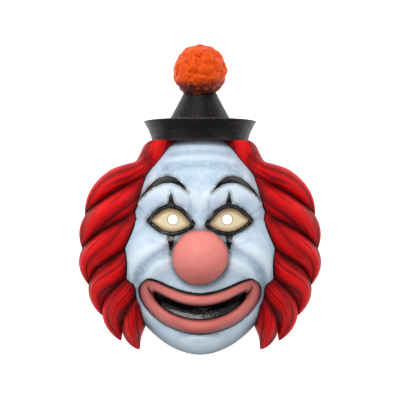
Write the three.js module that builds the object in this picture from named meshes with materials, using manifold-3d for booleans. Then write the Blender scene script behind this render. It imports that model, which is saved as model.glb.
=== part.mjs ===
// A formed clown mask for an adult, lying on its trimmed back edge. +X is the viewer's right, +Y runs from
// the chin to the hat, and +Z points out of the face. The face, hair, hat and pompom are thin walls, open
// at the back. The pieces seat on each other with a glue gap between them.
import * as THREE from "three";
import { mergeVertices } from "three/addons/utils/BufferGeometryUtils.js";
import Module from "manifold-3d";

const wasm = await Module();
wasm.setup();

// Driving sizes, in millimetres.
const WALL = 2; // thickness of the formed sheet
const GLUE_GAP = 0.3; // left between pieces that seat on each other
const FACE_HALF_WIDTH = 95; // at the cheeks
const FACE_TOP = 130; // from the middle of the face up to the top of the forehead
const FACE_CHIN = 135.5; // from the middle of the face down to the chin
const FACE_DEPTH = 72; // of the plain dome, before the features
const PUPIL_SPACING = 62; // between the middles of the see-through holes
const PUPIL_HEIGHT = 28; // of those holes above the middle of the face
const PUPIL_DIAMETER = 11.5;
const NOSE_RADIUS = 31;
const NOSE_DROP = 14; // of the ball's middle below the middle of the face
const NOSE_STAND = 5; // of the ball's middle above the face under it
const NOSE_SEAT = 8; // from the ball in to the edge of the hole that it covers, where the wearer's nose goes
const MOUTH_DROP = 74; // of the mouth's middle below the middle of the face
const MOUTH_BEND = 80; // radius of the arc that the mouth follows
const MOUTH_HALF_WIDTH = 56; // along that arc
const MOUTH_UPPER = 4; // of the opening's upper edge above the arc
const MOUTH_LOWER = 11; // of the opening's lower edge below the arc
const MOUTH_DEPTH = 8; // of the dent behind the opening
const LIP_SIDE = 17; // width of the lip band at the corners
const LIP_UPPER = 14; // width of the upper lip
const LIP_LOWER = 17; // width of the lower lip
const LIP_EDGE = 1; // height of the lips' rim above the face
const LIP_RISE = 6.5; // of the lips' crown above their rim
const HAIR_REACH = 140; // from the middle of the face out to the middle of the widest lock
const HAIR_HEIGHT = 58; // of a full lock above the back edge, before it tapers
const LOCK_HALF_WIDTH = 23; // of a full lock, before it tapers
const LOCK_BELLY = 0.35; // share of a lock's length from its root to its widest place
const LOCK_FALL = 0.5; // share of its height that a lock loses by its tip
const STRAND_RISE = 1.6; // of the strands that stand on each lock
const HAT_OVERLAP = 10; // by which the forehead stands above the hat's underside
const HAT_DEPTH_SHARE = 0.84; // the hat's front-to-back radius over its sideways one
const BRIM_FOOT_RADIUS = 58;
const BRIM_TOP_RADIUS = 68;
const BRIM_HEIGHT = 25;
const CROWN_FOOT_RADIUS = 52;
const CROWN_TOP_RADIUS = 17;
const CROWN_HEIGHT = 62;
const POMPOM_RADIUS = 32;
const POMPOM_SINK = 12; // by which the crown's tip stands inside the pompom
const POMPOM_STAND = 6; // of the ball's middle above the back edge
const TUFT_RISE = 3; // of the pompom's tufts above its ball

const DOME_POWER = 2.3; // of the superellipse that rounds the face from its middle to its back edge
const SMILE_POWER = 2.5; // of the superellipses round the mouth and the lips
const FADE_START = 0.72; // share of the way out at which the features start to fade into the plain dome
const TUFTS = 46; // spread over the whole pompom
const TUFT_SPREAD = 0.42; // angle from a tuft's middle to its foot, in radians
const FACE_HALF_HEIGHT = (FACE_TOP + FACE_CHIN) / 2;
const HAT_FOOT = FACE_TOP - HAT_OVERLAP;
const CROWN_FOOT = WALL + GLUE_GAP; // above the hat's underside
const POMPOM_MIDDLE = HAT_FOOT + CROWN_FOOT + CROWN_HEIGHT - POMPOM_SINK + POMPOM_RADIUS;
const BLOCK_FLOOR = -12; // every cutting block reaches this far behind the back edge

// How fine each piece's mesh is, in steps along it and round it.
const MESH = {
  face: 30,
  hole: 20,
  lips: 40,
  nose: { around: 22, down: 13 },
  noseHollow: { around: 14, down: 10 },
  lock: { along: 10, round: 8 },
  lockHollow: { along: 8, round: 5 },
  brim: 42,
  crown: 40,
  pompom: { around: 26, down: 18 },
  pompomHollow: { around: 14, down: 10 },
};

// How full the outline is at each turn round the face, from the chin at -90 degrees to the top of the
// forehead at 90.
const OUTLINE = [
  { turn: -90, fullness: 0.92 },
  { turn: -60, fullness: 1.0 },
  { turn: -30, fullness: 1.04 },
  { turn: 0, fullness: 1.0 },
  { turn: 30, fullness: 0.95 },
  { turn: 60, fullness: 0.95 },
  { turn: 90, fullness: 0.95 },
];

// Soft bumps and dents. Places and spreads are shares of the half width and half height, and the rise is a
// share of the depth. A row off the middle line is repeated on the other side.
const FORMS = [
  { name: "brow", x: 0.4, y: 0.42, spreadX: 0.36, spreadY: 0.13, rise: 0.08 },
  { name: "glabella", x: 0, y: 0.32, spreadX: 0.22, spreadY: 0.12, rise: 0.04 },
  { name: "socket", x: 0.35, y: 0.205, spreadX: 0.27, spreadY: 0.14, rise: -0.17 },
  { name: "eyeball", x: 0.335, y: 0.205, spreadX: 0.16, spreadY: 0.085, rise: 0.11 },
  { name: "bridge", x: 0, y: 0.1, spreadX: 0.14, spreadY: 0.18, rise: 0.08 },
  { name: "cheek", x: 0.6, y: -0.14, spreadX: 0.27, spreadY: 0.17, rise: 0.19 },
  { name: "muzzle", x: 0, y: -0.5, spreadX: 0.46, spreadY: 0.27, rise: 0.13 },
  { name: "jowl", x: 0.7, y: -0.6, spreadX: 0.18, spreadY: 0.22, rise: -0.07 },
  { name: "chin", x: 0, y: -0.84, spreadX: 0.27, spreadY: 0.12, rise: 0.19 },
  { name: "temple", x: 0.82, y: 0.36, spreadX: 0.16, spreadY: 0.26, rise: -0.07 },
];

// Ridges and furrows along a line from a start past a bend to an end, in the same shares. The spread is a
// share of the half width. A row that starts on the right is repeated on the other side.
const LINES = [
  { name: "brow_arch", startX: 0.14, startY: 0.42, bendX: 0.4, bendY: 0.66,
    endX: 0.74, endY: 0.36, spread: 0.09, rise: 0.05 },
  { name: "upper_lid", startX: 0.1, startY: 0.17, bendX: 0.33, bendY: 0.44,
    endX: 0.6, endY: 0.2, spread: 0.035, rise: 0.045 },
  { name: "lower_lid", startX: 0.1, startY: 0.17, bendX: 0.36, bendY: 0.02,
    endX: 0.6, endY: 0.2, spread: 0.035, rise: 0.035 },
  { name: "smile_fold", startX: 0.3, startY: -0.04, bendX: 0.86, bendY: -0.16,
    endX: 0.8, endY: -0.56, spread: 0.07, rise: -0.09 },
  { name: "low_furrow", startX: -0.45, startY: 0.66, bendX: 0, bendY: 0.72,
    endX: 0.45, endY: 0.66, spread: 0.04, rise: -0.03 },
  { name: "high_furrow", startX: -0.36, startY: 0.78, bendX: 0, bendY: 0.84,
    endX: 0.36, endY: 0.78, spread: 0.04, rise: -0.025 },
];

// The locks of one side, from the hat down. A lock runs from its root past two bends to its tip. Sideways
// places are shares of the hair's reach, upward ones of the face's half height, and the last two of a full
// lock's size.
const LOCKS = [
  { rootX: 0.22, rootY: 1.08, outX: 0.46, outY: 0.76, bendX: 0.46, bendY: 0.44,
    tipX: 0.84, tipY: 0.32, width: 0.9, height: 0.8 },
  { rootX: 0.34, rootY: 0.94, outX: 0.5, outY: 0.44, bendX: 0.88, bendY: 0.64,
    tipX: 0.98, tipY: 0.18, width: 0.88, height: 0.86 },
  { rootX: 0.4, rootY: 0.7, outX: 0.6, outY: 0.1, bendX: 1.02, bendY: 0.34,
    tipX: 0.97, tipY: -0.14, width: 1, height: 0.92 },
  { rootX: 0.44, rootY: 0.46, outX: 0.62, outY: -0.2, bendX: 1.06, bendY: 0.04,
    tipX: 0.93, tipY: -0.42, width: 1.04, height: 0.9 },
  { rootX: 0.5, rootY: 0.2, outX: 0.6, outY: -0.44, bendX: 0.98, bendY: -0.26,
    tipX: 0.83, tipY: -0.68, width: 1, height: 0.84 },
  { rootX: 0.5, rootY: -0.1, outX: 0.6, outY: -0.62, bendX: 0.84, bendY: -0.56,
    tipX: 0.68, tipY: -0.9, width: 0.92, height: 0.76 },
  { rootX: 0.5, rootY: -0.34, outX: 0.54, outY: -0.7, bendX: 0.64, bendY: -0.8,
    tipX: 0.52, tipY: -0.98, width: 0.7, height: 0.62 },
];

// A smooth value of a table's column between its rows, by Catmull-Rom.
function between(rows, key, column, at) {
  const last = rows.length - 1;
  const place = rows.findIndex((row) => row[key] > at);
  const index = place < 0 ? last - 1 : Math.max(0, place - 1);
  const share = (at - rows[index][key]) / (rows[index + 1][key] - rows[index][key]);
  const value = (i) => rows[Math.min(last, Math.max(0, i))][column];
  const [a, b, c, d] = [value(index - 1), value(index), value(index + 1), value(index + 2)];
  return b + 0.5 * share * (c - a + share * (2 * a - 5 * b + 4 * c - d + share * (3 * (b - c) + d - a)));
}

// The point of the face's back edge at a turn, in radians, round its middle.
function outline(turn) {
  const sine = Math.sin(turn);
  const degrees = THREE.MathUtils.radToDeg(Math.asin(THREE.MathUtils.clamp(sine, -1, 1)));
  const fullness = between(OUTLINE, "turn", "fullness", degrees);
  const reach = sine > 0 ? FACE_TOP : FACE_CHIN;
  return new THREE.Vector2(FACE_HALF_WIDTH * fullness * Math.cos(turn), reach * sine);
}

// A square's point as a turn and a share of the way from the middle to the edge, so that a grid covers an
// oval.
function squareToRound(u, v) {
  if (u === 0 && v === 0) return { turn: 0, share: 0 };
  const quarter = Math.PI / 4;
  const share = Math.max(Math.abs(u), Math.abs(v));
  if (Math.abs(u) > Math.abs(v)) return { turn: quarter * (v / u) + (u < 0 ? Math.PI : 0), share };
  return { turn: 2 * quarter - quarter * (u / v) + (v < 0 ? Math.PI : 0), share };
}

// The plain dome under the features.
function dome(turn, share) {
  const edge = outline(turn);
  const angle = (share * Math.PI) / 2;
  const out = Math.sin(angle) ** (2 / DOME_POWER);
  const rise = share >= 1 ? 0 : Math.cos(angle) ** (2 / DOME_POWER);
  return new THREE.Vector3(edge.x * out, edge.y * out, FACE_DEPTH * rise);
}

// The dome's outward normal, from two short steps along it.
function domeNormal(turn, share) {
  const step = 1e-3;
  const near = Math.min(1 - step, Math.max(step, share));
  const round = dome(turn + step, near).sub(dome(turn - step, near));
  const outward = dome(turn, near + step).sub(dome(turn, near - step));
  const normal = outward.cross(round).normalize();
  if (normal.z < 0) normal.negate();
  if (share >= 1) normal.setZ(0).normalize();
  return normal;
}

// The points along each ridge and furrow.
const CREASES = LINES.map((line) => {
  const point = (x, y) => new THREE.Vector2(x * FACE_HALF_WIDTH, y * FACE_HALF_HEIGHT);
  const curve = new THREE.QuadraticBezierCurve(
    point(line.startX, line.startY),
    point(line.bendX, line.bendY),
    point(line.endX, line.endY),
  );
  return { ...line, points: curve.getPoints(14) };
});

// The distance from a place to the nearest of a line's short steps.
function distanceTo(points, x, y) {
  let nearest = Infinity;
  for (let i = 0; i + 1 < points.length; i += 1) {
    const along = points[i + 1].clone().sub(points[i]);
    const away = new THREE.Vector2(x, y).sub(points[i]);
    const share = THREE.MathUtils.clamp(away.dot(along) / along.lengthSq(), 0, 1);
    nearest = Math.min(nearest, away.addScaledVector(along, -share).length());
  }
  return nearest;
}

// How deep the mouth's dent is at a place: it follows the mouth's arc and ends at its corners.
function mouthDent(x, y) {
  const below = MOUTH_BEND - MOUTH_DROP - y;
  const along = MOUTH_BEND * Math.atan2(x, below);
  const above = MOUTH_BEND - Math.hypot(x, below);
  const middle = (MOUTH_UPPER - MOUTH_LOWER) / 2;
  const spread = (MOUTH_UPPER + MOUTH_LOWER) / 2;
  const across = (above - middle) / spread;
  return MOUTH_DEPTH * Math.exp(-across * across - (along / (0.9 * MOUTH_HALF_WIDTH)) ** 6);
}

// How far the features raise the dome at a place, in millimetres.
function relief(x, y) {
  let rise = -mouthDent(x, y);
  for (const form of FORMS)
    for (const side of form.x === 0 ? [1] : [1, -1]) {
      const across = (x - side * form.x * FACE_HALF_WIDTH) / (form.spreadX * FACE_HALF_WIDTH);
      const up = (y - form.y * FACE_HALF_HEIGHT) / (form.spreadY * FACE_HALF_HEIGHT);
      rise += form.rise * FACE_DEPTH * Math.exp(-across * across - up * up);
    }
  for (const crease of CREASES) {
    const folded = crease.startX < 0 ? x : Math.abs(x);
    const away = distanceTo(crease.points, folded, y) / (crease.spread * FACE_HALF_WIDTH);
    rise += crease.rise * FACE_DEPTH * Math.exp(-away * away);
  }
  return rise;
}

// The face's front surface, which keeps its flat back edge because the features fade out there.
function faceFront(turn, share) {
  const point = dome(turn, share);
  const fade = 1 - THREE.MathUtils.smoothstep(share, FADE_START, 1);
  point.z += relief(point.x, point.y) * fade;
  return point;
}

// The height of the face's front at a place in plan, by halving the share of the way to the edge.
function faceHeight(x, y) {
  const up = y > 0 ? FACE_TOP : FACE_CHIN;
  let turn = Math.atan2(y / up, x / FACE_HALF_WIDTH);
  for (let i = 0; i < 12; i += 1) {
    const edge = outline(turn);
    turn = Math.atan2(y / up, (x * Math.cos(turn)) / (edge.x || 1));
  }
  const edge = outline(turn);
  const out = Math.hypot(x, y) / Math.hypot(edge.x, edge.y);
  if (out >= 1) return 0;
  return faceFront(turn, (2 / Math.PI) * Math.asin(out ** (DOME_POWER / 2))).z;
}

// A closed solid from a list of points and triangles of their places in it.
function solidFrom(points, triangles) {
  const positions = new Float32Array(triangles.flat().flatMap((index) => points[index].toArray()));
  const loose = new THREE.BufferGeometry();
  return solidOf(loose.setAttribute("position", new THREE.BufferAttribute(positions, 3)));
}

// A closed solid from a three.js geometry, with shared points merged and flat triangles dropped.
function solidOf(geometry) {
  const bare = geometry.clone();
  bare.deleteAttribute("normal");
  bare.deleteAttribute("uv");
  const merged = mergeVertices(bare, 1e-4);
  const kept = [];
  for (let i = 0; i < merged.index.count; i += 3) {
    const [a, b, c] = [0, 1, 2].map((corner) => merged.index.getX(i + corner));
    if (a !== b && b !== c && c !== a) kept.push(a, b, c);
  }
  const vertProperties = new Float32Array(merged.attributes.position.array);
  const made = (order) =>
    new wasm.Manifold(new wasm.Mesh({ numProp: 3, vertProperties, triVerts: new Uint32Array(order) }));
  const solid = made(kept);
  return solid.volume() < 0 ? made(kept.reverse()) : solid;
}

// A solid as a three.js mesh with its name and finish.
function named(name, solid, material) {
  const mesh = solid.getMesh();
  const geometry = new THREE.BufferGeometry();
  geometry.setAttribute("position", new THREE.BufferAttribute(new Float32Array(mesh.vertProperties), 3));
  geometry.setIndex(new THREE.BufferAttribute(new Uint32Array(mesh.triVerts), 1));
  geometry.computeVertexNormals();
  const made = new THREE.Mesh(geometry, material);
  made.name = name;
  return made;
}

// The wall between two grids of points of one size, closed round their borders. The first grid is the outer
// one. Each cell is split along the corner that points away from the grid's middle. The last row of a ring
// is its first again, so a ring has no end walls.
function wallBetween(outer, inner, ring = false) {
  const [rows, columns] = [outer.length, outer[0].length];
  const points = [...outer.flat(), ...inner.flat()];
  const at = (row, column, side) => side * rows * columns + row * columns + column;
  const triangles = [];
  const quad = (a, b, c, d) => triangles.push([a, b, c], [a, c, d]);
  for (let i = 0; i + 1 < rows; i += 1)
    for (let j = 0; j + 1 < columns; j += 1)
      for (const side of [0, 1]) {
        const cell = [at(i, j, side), at(i, j + 1, side), at(i + 1, j + 1, side), at(i + 1, j, side)];
        if (2 * i < rows - 1 !== 2 * j < columns - 1) cell.push(cell.shift());
        quad(...(side ? cell.reverse() : cell));
      }
  for (let i = 0; i + 1 < rows; i += 1) {
    quad(at(i, 0, 0), at(i + 1, 0, 0), at(i + 1, 0, 1), at(i, 0, 1));
    quad(at(i, columns - 1, 1), at(i + 1, columns - 1, 1), at(i + 1, columns - 1, 0), at(i, columns - 1, 0));
  }
  for (let j = 0; j + 1 < columns && !ring; j += 1) {
    quad(at(0, j, 1), at(0, j + 1, 1), at(0, j + 1, 0), at(0, j, 0));
    quad(at(rows - 1, j, 0), at(rows - 1, j + 1, 0), at(rows - 1, j + 1, 1), at(rows - 1, j, 1));
  }
  return solidFrom(points, triangles);
}

// A grid over the face, each point made by a function of its turn and share.
function faceGrid(pointAt) {
  const places = Array.from({ length: MESH.face + 1 }, (_, step) => (2 * step) / MESH.face - 1);
  return places.map((v) =>
    places.map((u) => {
      const { turn, share } = squareToRound(u, v);
      return pointAt(turn, share);
    }),
  );
}

// The face's front pushed out along the dome's normal, or in if the distance is negative.
function faceOffset(distance) {
  return faceGrid((turn, share) => faceFront(turn, share).addScaledVector(domeNormal(turn, share), distance));
}

// The face's wall with its see-through holes, and the hole into the hollow nose.
function faceShell() {
  const drill = (radius, x, y) => {
    const bit = new THREE.CylinderGeometry(radius, radius, 2 * FACE_DEPTH, MESH.hole);
    return solidOf(bit.rotateX(Math.PI / 2).translate(x, y, FACE_DEPTH));
  };
  return wallBetween(faceOffset(0), faceOffset(-WALL))
    .subtract(drill(PUPIL_DIAMETER / 2, -PUPIL_SPACING / 2, PUPIL_HEIGHT))
    .subtract(drill(PUPIL_DIAMETER / 2, PUPIL_SPACING / 2, PUPIL_HEIGHT))
    .subtract(drill(NOSE_RADIUS - NOSE_SEAT, 0, -NOSE_DROP));
}

// All that the face fills, with the glue gap round it, for cutting what seats on it.
function faceBlock() {
  const front = faceOffset(GLUE_GAP);
  const floor = front.map((row) => row.map((point) => point.clone().setZ(BLOCK_FLOOR)));
  return wallBetween(front, floor);
}

// A superellipse bent round the mouth's arc.
function smile(halfWidth, up, down, turn) {
  const round = (value) => Math.sign(value) * Math.abs(value) ** (2 / SMILE_POWER);
  const along = (halfWidth * round(Math.cos(turn))) / MOUTH_BEND;
  const rise = round(Math.sin(turn));
  const radius = MOUTH_BEND - (rise > 0 ? up : down) * rise;
  return new THREE.Vector2(radius * Math.sin(along), MOUTH_BEND - MOUTH_DROP - radius * Math.cos(along));
}

// The lips: a closed band round the mouth that follows the face and is crowned across its width.
function lips(block) {
  const across = [0, 0.12, 0.35, 0.65, 0.88, 1];
  const upper = MOUTH_UPPER + LIP_UPPER;
  const lower = MOUTH_LOWER + LIP_LOWER;
  const band = (lift) =>
    Array.from({ length: MESH.lips + 1 }, (_, step) => {
      const turn = (2 * Math.PI * (step % MESH.lips)) / MESH.lips;
      const inner = smile(MOUTH_HALF_WIDTH, MOUTH_UPPER, MOUTH_LOWER, turn);
      const outer = smile(MOUTH_HALF_WIDTH + LIP_SIDE, upper, lower, turn);
      return across.map((share) => {
        const plan = inner.clone().lerp(outer, share);
        return new THREE.Vector3(plan.x, plan.y, faceHeight(plan.x, plan.y) + lift(share));
      });
    });
  const top = band((share) => GLUE_GAP + LIP_EDGE + LIP_RISE * Math.sqrt(4 * share * (1 - share)));
  const under = band(() => -MOUTH_DEPTH);
  return wallBetween(top, under, true).subtract(block);
}

function nose(block) {
  const middle = [0, -NOSE_DROP, faceHeight(0, -NOSE_DROP) + NOSE_STAND];
  const ball = (radius, { around, down }) =>
    solidOf(new THREE.SphereGeometry(radius, around, down).translate(...middle));
  return ball(NOSE_RADIUS, MESH.nose).subtract(ball(NOSE_RADIUS - WALL, MESH.noseHollow)).subtract(block);
}

// How much of its full size a lock has along its length: it swells fast from its root and narrows slowly to
// its tip.
function lockTaper(along) {
  const swell = Math.min(1, along / LOCK_BELLY);
  const narrow = Math.max(0, along - LOCK_BELLY) / (1 - LOCK_BELLY);
  return Math.sqrt(1 - (1 - swell) ** 2) * (1 - narrow ** 1.8) ** 0.75;
}

// The stretch of a lock's length over which its half width is more than an inset.
function lockStretch(halfWidth, inset) {
  const share = inset / halfWidth;
  const narrow = (1 - share ** (4 / 3)) ** (1 / 1.8);
  return [LOCK_BELLY * (1 - Math.sqrt(1 - share * share)), LOCK_BELLY + narrow * (1 - LOCK_BELLY)];
}

// One lock as a closed swept dome that stands on a floor. The inset makes the hollow inside it, and only
// the outer one carries strands.
function lock(row, side, inset, mesh) {
  const floor = inset > 0 ? BLOCK_FLOOR : 0;
  const strand = inset > 0 ? 0 : STRAND_RISE;
  const fullWidth = row.width * LOCK_HALF_WIDTH;
  const fullHeight = row.height * HAIR_HEIGHT;
  const [start, end] = lockStretch(fullWidth, inset);
  const point = (x, y) => new THREE.Vector2(side * x * HAIR_REACH, y * FACE_HALF_HEIGHT);
  const path = new THREE.CubicBezierCurve(
    point(row.rootX, row.rootY),
    point(row.outX, row.outY),
    point(row.bendX, row.bendY),
    point(row.tipX, row.tipY),
  );
  const rings = Array.from({ length: mesh.along + 1 }, (_, step) => {
    const along = THREE.MathUtils.lerp(start, end, 0.5 - 0.5 * Math.cos((Math.PI * step) / mesh.along));
    const closing = lockTaper(along);
    const width = Math.max(0, fullWidth * closing - inset);
    const height = Math.max(0, fullHeight * (1 - LOCK_FALL * along) * closing - inset);
    const middle = path.getPoint(along);
    const heading = path.getTangent(along);
    const ring = Array.from({ length: mesh.round + 1 }, (_, place) => {
      const turn = (Math.PI * place) / mesh.round;
      const ridge = strand * closing * Math.abs(Math.sin(2 * turn)) * Math.sin(turn);
      const out = (width + ridge) * Math.cos(turn);
      const x = middle.x + heading.y * out;
      const y = middle.y - heading.x * out;
      return new THREE.Vector3(x, y, (height + ridge) * Math.sin(turn));
    });
    const foot = [ring[mesh.round], ring[0]].map((corner) => corner.clone().setZ(floor));
    return floor < 0 ? [...ring, ...foot] : ring;
  });
  return loft(rings);
}

// A closed solid through closed rings of points, which end in a point or a flat cap.
function loft(rings) {
  const count = rings[0].length;
  const triangles = [];
  for (let i = 0; i + 1 < rings.length; i += 1)
    for (let j = 0; j < count; j += 1) {
      const next = (j + 1) % count;
      const [a, b, c, d] = [i * count + j, i * count + next, (i + 1) * count + next, (i + 1) * count + j];
      triangles.push([a, b, c], [a, c, d]);
    }
  return solidFrom(rings.flat(), triangles);
}

// One side's hair: its locks joined, hollowed, and cut back from the face and the hat.
function hair(side, block) {
  const join = (inset, mesh) =>
    LOCKS.map((row) => lock(row, side, inset, mesh)).reduce((all, solid) => all.add(solid));
  const above = new THREE.BoxGeometry(4 * HAIR_REACH, FACE_TOP, 4 * HAIR_HEIGHT);
  above.translate(0, HAT_FOOT - GLUE_GAP + FACE_TOP / 2, 0);
  return join(0, MESH.lock).subtract(join(WALL, MESH.lockHollow)).subtract(block).subtract(solidOf(above));
}

// A profile of radius and height turned round the hat's upright axis, and flattened from front to back.
function turned(profile, segments) {
  const corners = [...profile, profile[0]].map(([radius, height]) => new THREE.Vector2(radius, height));
  const geometry = new THREE.LatheGeometry(corners, segments);
  return solidOf(geometry.scale(1, 1, HAT_DEPTH_SHARE).translate(0, HAT_FOOT, 0));
}

// What of a solid lies in front of the back edge.
function frontOf(solid) {
  const size = 6 * HAIR_REACH;
  const behind = new THREE.BoxGeometry(size, size, size).translate(0, 0, -size / 2);
  return solid.subtract(solidOf(behind));
}

// The brim: a flat deck that the crown stands on, and a cuff that flares up and ends in a rolled lip.
function hatBrim(block) {
  const flare = BRIM_TOP_RADIUS - BRIM_FOOT_RADIUS;
  const radius = (share) => BRIM_FOOT_RADIUS + flare * share ** 1.6;
  const climb = [0, 0.35, 0.7, 0.92];
  const outside = climb.map((share) => [radius(share), BRIM_HEIGHT * share]);
  const inside = climb.slice(1).reverse().map((share) => [radius(share) - WALL, BRIM_HEIGHT * share]);
  const lip = [
    [BRIM_TOP_RADIUS, BRIM_HEIGHT - WALL / 2],
    [BRIM_TOP_RADIUS - WALL / 2, BRIM_HEIGHT],
    [BRIM_TOP_RADIUS - 1.5 * WALL, BRIM_HEIGHT - WALL / 2],
  ];
  const profile = [[0, 0], ...outside, ...lip, ...inside, [BRIM_FOOT_RADIUS - WALL, WALL], [0, WALL]];
  return frontOf(turned(profile, MESH.brim)).subtract(block);
}

// The crown's side from its foot to its top, set in by a distance.
function crownSide(inset) {
  return [0, 0.3, 0.6, 0.85, 1].map((share) => {
    const radius = THREE.MathUtils.lerp(CROWN_FOOT_RADIUS, CROWN_TOP_RADIUS, share ** 0.92) - inset;
    return [radius, CROWN_FOOT + CROWN_HEIGHT * share - (share === 1 ? inset : 0)];
  });
}

function hatCrown() {
  const [outer, inner] = [crownSide(0), crownSide(WALL)];
  const top = CROWN_FOOT + CROWN_HEIGHT;
  return frontOf(turned([...outer, [0, top], [0, top - WALL], ...inner.reverse()], MESH.crown));
}

// What the crown fills, with the glue gap round it, for cutting the pompom.
function crownBlock() {
  const side = crownSide(-GLUE_GAP);
  return turned([[0, CROWN_FOOT], ...side, [0, CROWN_FOOT + CROWN_HEIGHT + GLUE_GAP]], MESH.crown);
}

// The pompom: a hollow ball with rounded tufts spread evenly over it by the golden angle.
function pompom() {
  const golden = Math.PI * (3 - Math.sqrt(5));
  const tufts = Array.from({ length: TUFTS }, (_, i) => {
    const z = 1 - (2 * i + 1) / TUFTS;
    const ring = Math.sqrt(1 - z * z);
    return new THREE.Vector3(ring * Math.cos(golden * i), ring * Math.sin(golden * i), z);
  });
  const core = POMPOM_RADIUS - TUFT_RISE;
  const ball = new THREE.SphereGeometry(1, MESH.pompom.around, MESH.pompom.down);
  const position = ball.getAttribute("position");
  const point = new THREE.Vector3();
  for (let i = 0; i < position.count; i += 1) {
    point.fromBufferAttribute(position, i).normalize();
    const nearest = Math.min(...tufts.map((tuft) => tuft.angleTo(point)));
    point.multiplyScalar(core + TUFT_RISE * Math.max(0, 1 - (nearest / TUFT_SPREAD) ** 2));
    position.setXYZ(i, point.x, point.y, point.z);
  }
  const hollow = new THREE.SphereGeometry(core - WALL, MESH.pompomHollow.around, MESH.pompomHollow.down);
  const placed = (shape) => solidOf(shape.translate(0, POMPOM_MIDDLE, POMPOM_STAND));
  return frontOf(placed(ball).subtract(placed(hollow))).subtract(crownBlock());
}

const PAINT = {
  face: new THREE.MeshStandardMaterial({ color: 0xb9d3e6, roughness: 0.55 }),
  pink: new THREE.MeshStandardMaterial({ color: 0xdf6f68, roughness: 0.5 }),
  red: new THREE.MeshStandardMaterial({ color: 0xc80f1c, roughness: 0.45 }),
  black: new THREE.MeshStandardMaterial({ color: 0x17140f, roughness: 0.4 }),
  orange: new THREE.MeshStandardMaterial({ color: 0xf1590a, roughness: 0.5 }),
};

const block = faceBlock();
const mask = new THREE.Group();
mask.add(
  named("face", faceShell(), PAINT.face),
  named("nose", nose(block), PAINT.pink),
  named("lips", lips(block), PAINT.pink),
  named("hair_left", hair(-1, block), PAINT.red),
  named("hair_right", hair(1, block), PAINT.red),
  named("hat_brim", hatBrim(block), PAINT.black),
  named("hat_crown", hatCrown(), PAINT.black),
  named("pompom", pompom(), PAINT.orange),
);

// The origin is the middle of the whole mask in plan, on the plane of its back edge.
const middle = new THREE.Box3().setFromObject(mask).getCenter(new THREE.Vector3());
mask.position.set(-middle.x, -middle.y, 0);

export default mask;
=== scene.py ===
"""A formed clown mask, hand painted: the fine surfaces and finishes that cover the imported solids.

The mask lies on its trimmed back edge. +X is the viewer's right, +Y runs from the chin to the hat, and
+Z points out of the face. Sizes are millimetres, measured from the middle of the face, until a mesh is
made in metres.
"""

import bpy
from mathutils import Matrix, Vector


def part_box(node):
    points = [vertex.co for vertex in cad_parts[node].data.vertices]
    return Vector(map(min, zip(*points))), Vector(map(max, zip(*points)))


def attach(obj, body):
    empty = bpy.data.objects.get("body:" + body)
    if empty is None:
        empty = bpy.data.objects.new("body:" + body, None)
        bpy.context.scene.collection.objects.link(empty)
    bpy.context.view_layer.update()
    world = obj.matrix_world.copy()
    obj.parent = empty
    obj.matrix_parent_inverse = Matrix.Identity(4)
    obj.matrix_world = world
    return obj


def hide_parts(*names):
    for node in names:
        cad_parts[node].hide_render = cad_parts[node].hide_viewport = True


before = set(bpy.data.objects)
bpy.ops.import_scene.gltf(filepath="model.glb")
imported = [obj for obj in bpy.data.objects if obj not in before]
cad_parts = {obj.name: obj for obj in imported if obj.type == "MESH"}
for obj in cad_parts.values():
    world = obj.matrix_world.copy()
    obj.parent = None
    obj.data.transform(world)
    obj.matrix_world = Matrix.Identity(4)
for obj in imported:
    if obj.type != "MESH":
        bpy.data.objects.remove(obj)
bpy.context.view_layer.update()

import logging
import math
from collections.abc import Iterable
from dataclasses import dataclass, field
from enum import Enum

import bmesh
import bpy
import numpy as np
from bpy.types import Material, Node, NodeSocket, NodeTree, Object

Array = np.ndarray
Pair = tuple[float, float]
Triple = tuple[float, float, float]

LOG = logging.getLogger("clown_mask")
MM = 0.001  # metres in a millimetre
GLUE_GAP = 0.3  # left between pieces that seat on each other
HAIRLINE = 0.05  # left where paint fills the joint between two pieces
WALL = 2.0  # thickness of the formed sheet
BLOCK_FLOOR = -12.0  # how far behind the back edge a cutting block reaches
ROOM = 400.0  # farther from the middle than any edge of the mask
FAR = 50.0  # a distance that no paint reaches
WELD = 0.002  # points that lie nearer to each other are one
PHOTO_SCALE = 1.175  # millimetres in a pixel of the photograph, from the spacing of the pupil holes
PHOTO_PIXELS = 400
PAINT_IOR = 1.5  # of acrylic paint and of the plastic under it
TIP_POWER = 1.8  # how late a lock of hair narrows towards its tip
TIP_ROUND = 0.75  # how round its tip is
SWAY_RATE = 4.5  # how often the strands swing along a lock, in radians over its length
SWAY_WIDTH = 0.8  # how far they swing
SWAY_STEP = 1.7  # how much later the next lock swings
MATH, VECTOR_MATH = "ShaderNodeMath", "ShaderNodeVectorMath"  # Blender's two arithmetic nodes


class Join(Enum):
    """How one closed mesh changes another."""

    ADD = "UNION"
    CUT = "DIFFERENCE"


class Side(Enum):
    """The two sides of the mask, as the viewer sees them."""

    LEFT = "left"
    RIGHT = "right"


def smoothstep(low: float, high: float, value: Array) -> Array:
    """Ease from 0 at low to 1 at high."""
    share = np.clip((value - low) / (high - low), 0.0, 1.0)
    return share * share * (3.0 - 2.0 * share)


def bezier(corners: Iterable[Pair], steps: int) -> Array:
    """Points along a Bezier curve.

    Args:
        corners: the three or four control points.
        steps: how many stretches the curve is cut into.

    Returns:
        An array of steps + 1 points.
    """
    points = np.array(list(corners), float)
    order = len(points) - 1
    t = np.linspace(0.0, 1.0, steps + 1)[:, None]
    return sum(math.comb(order, i) * t**i * (1 - t) ** (order - i) * points[i] for i in range(order + 1))


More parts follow.
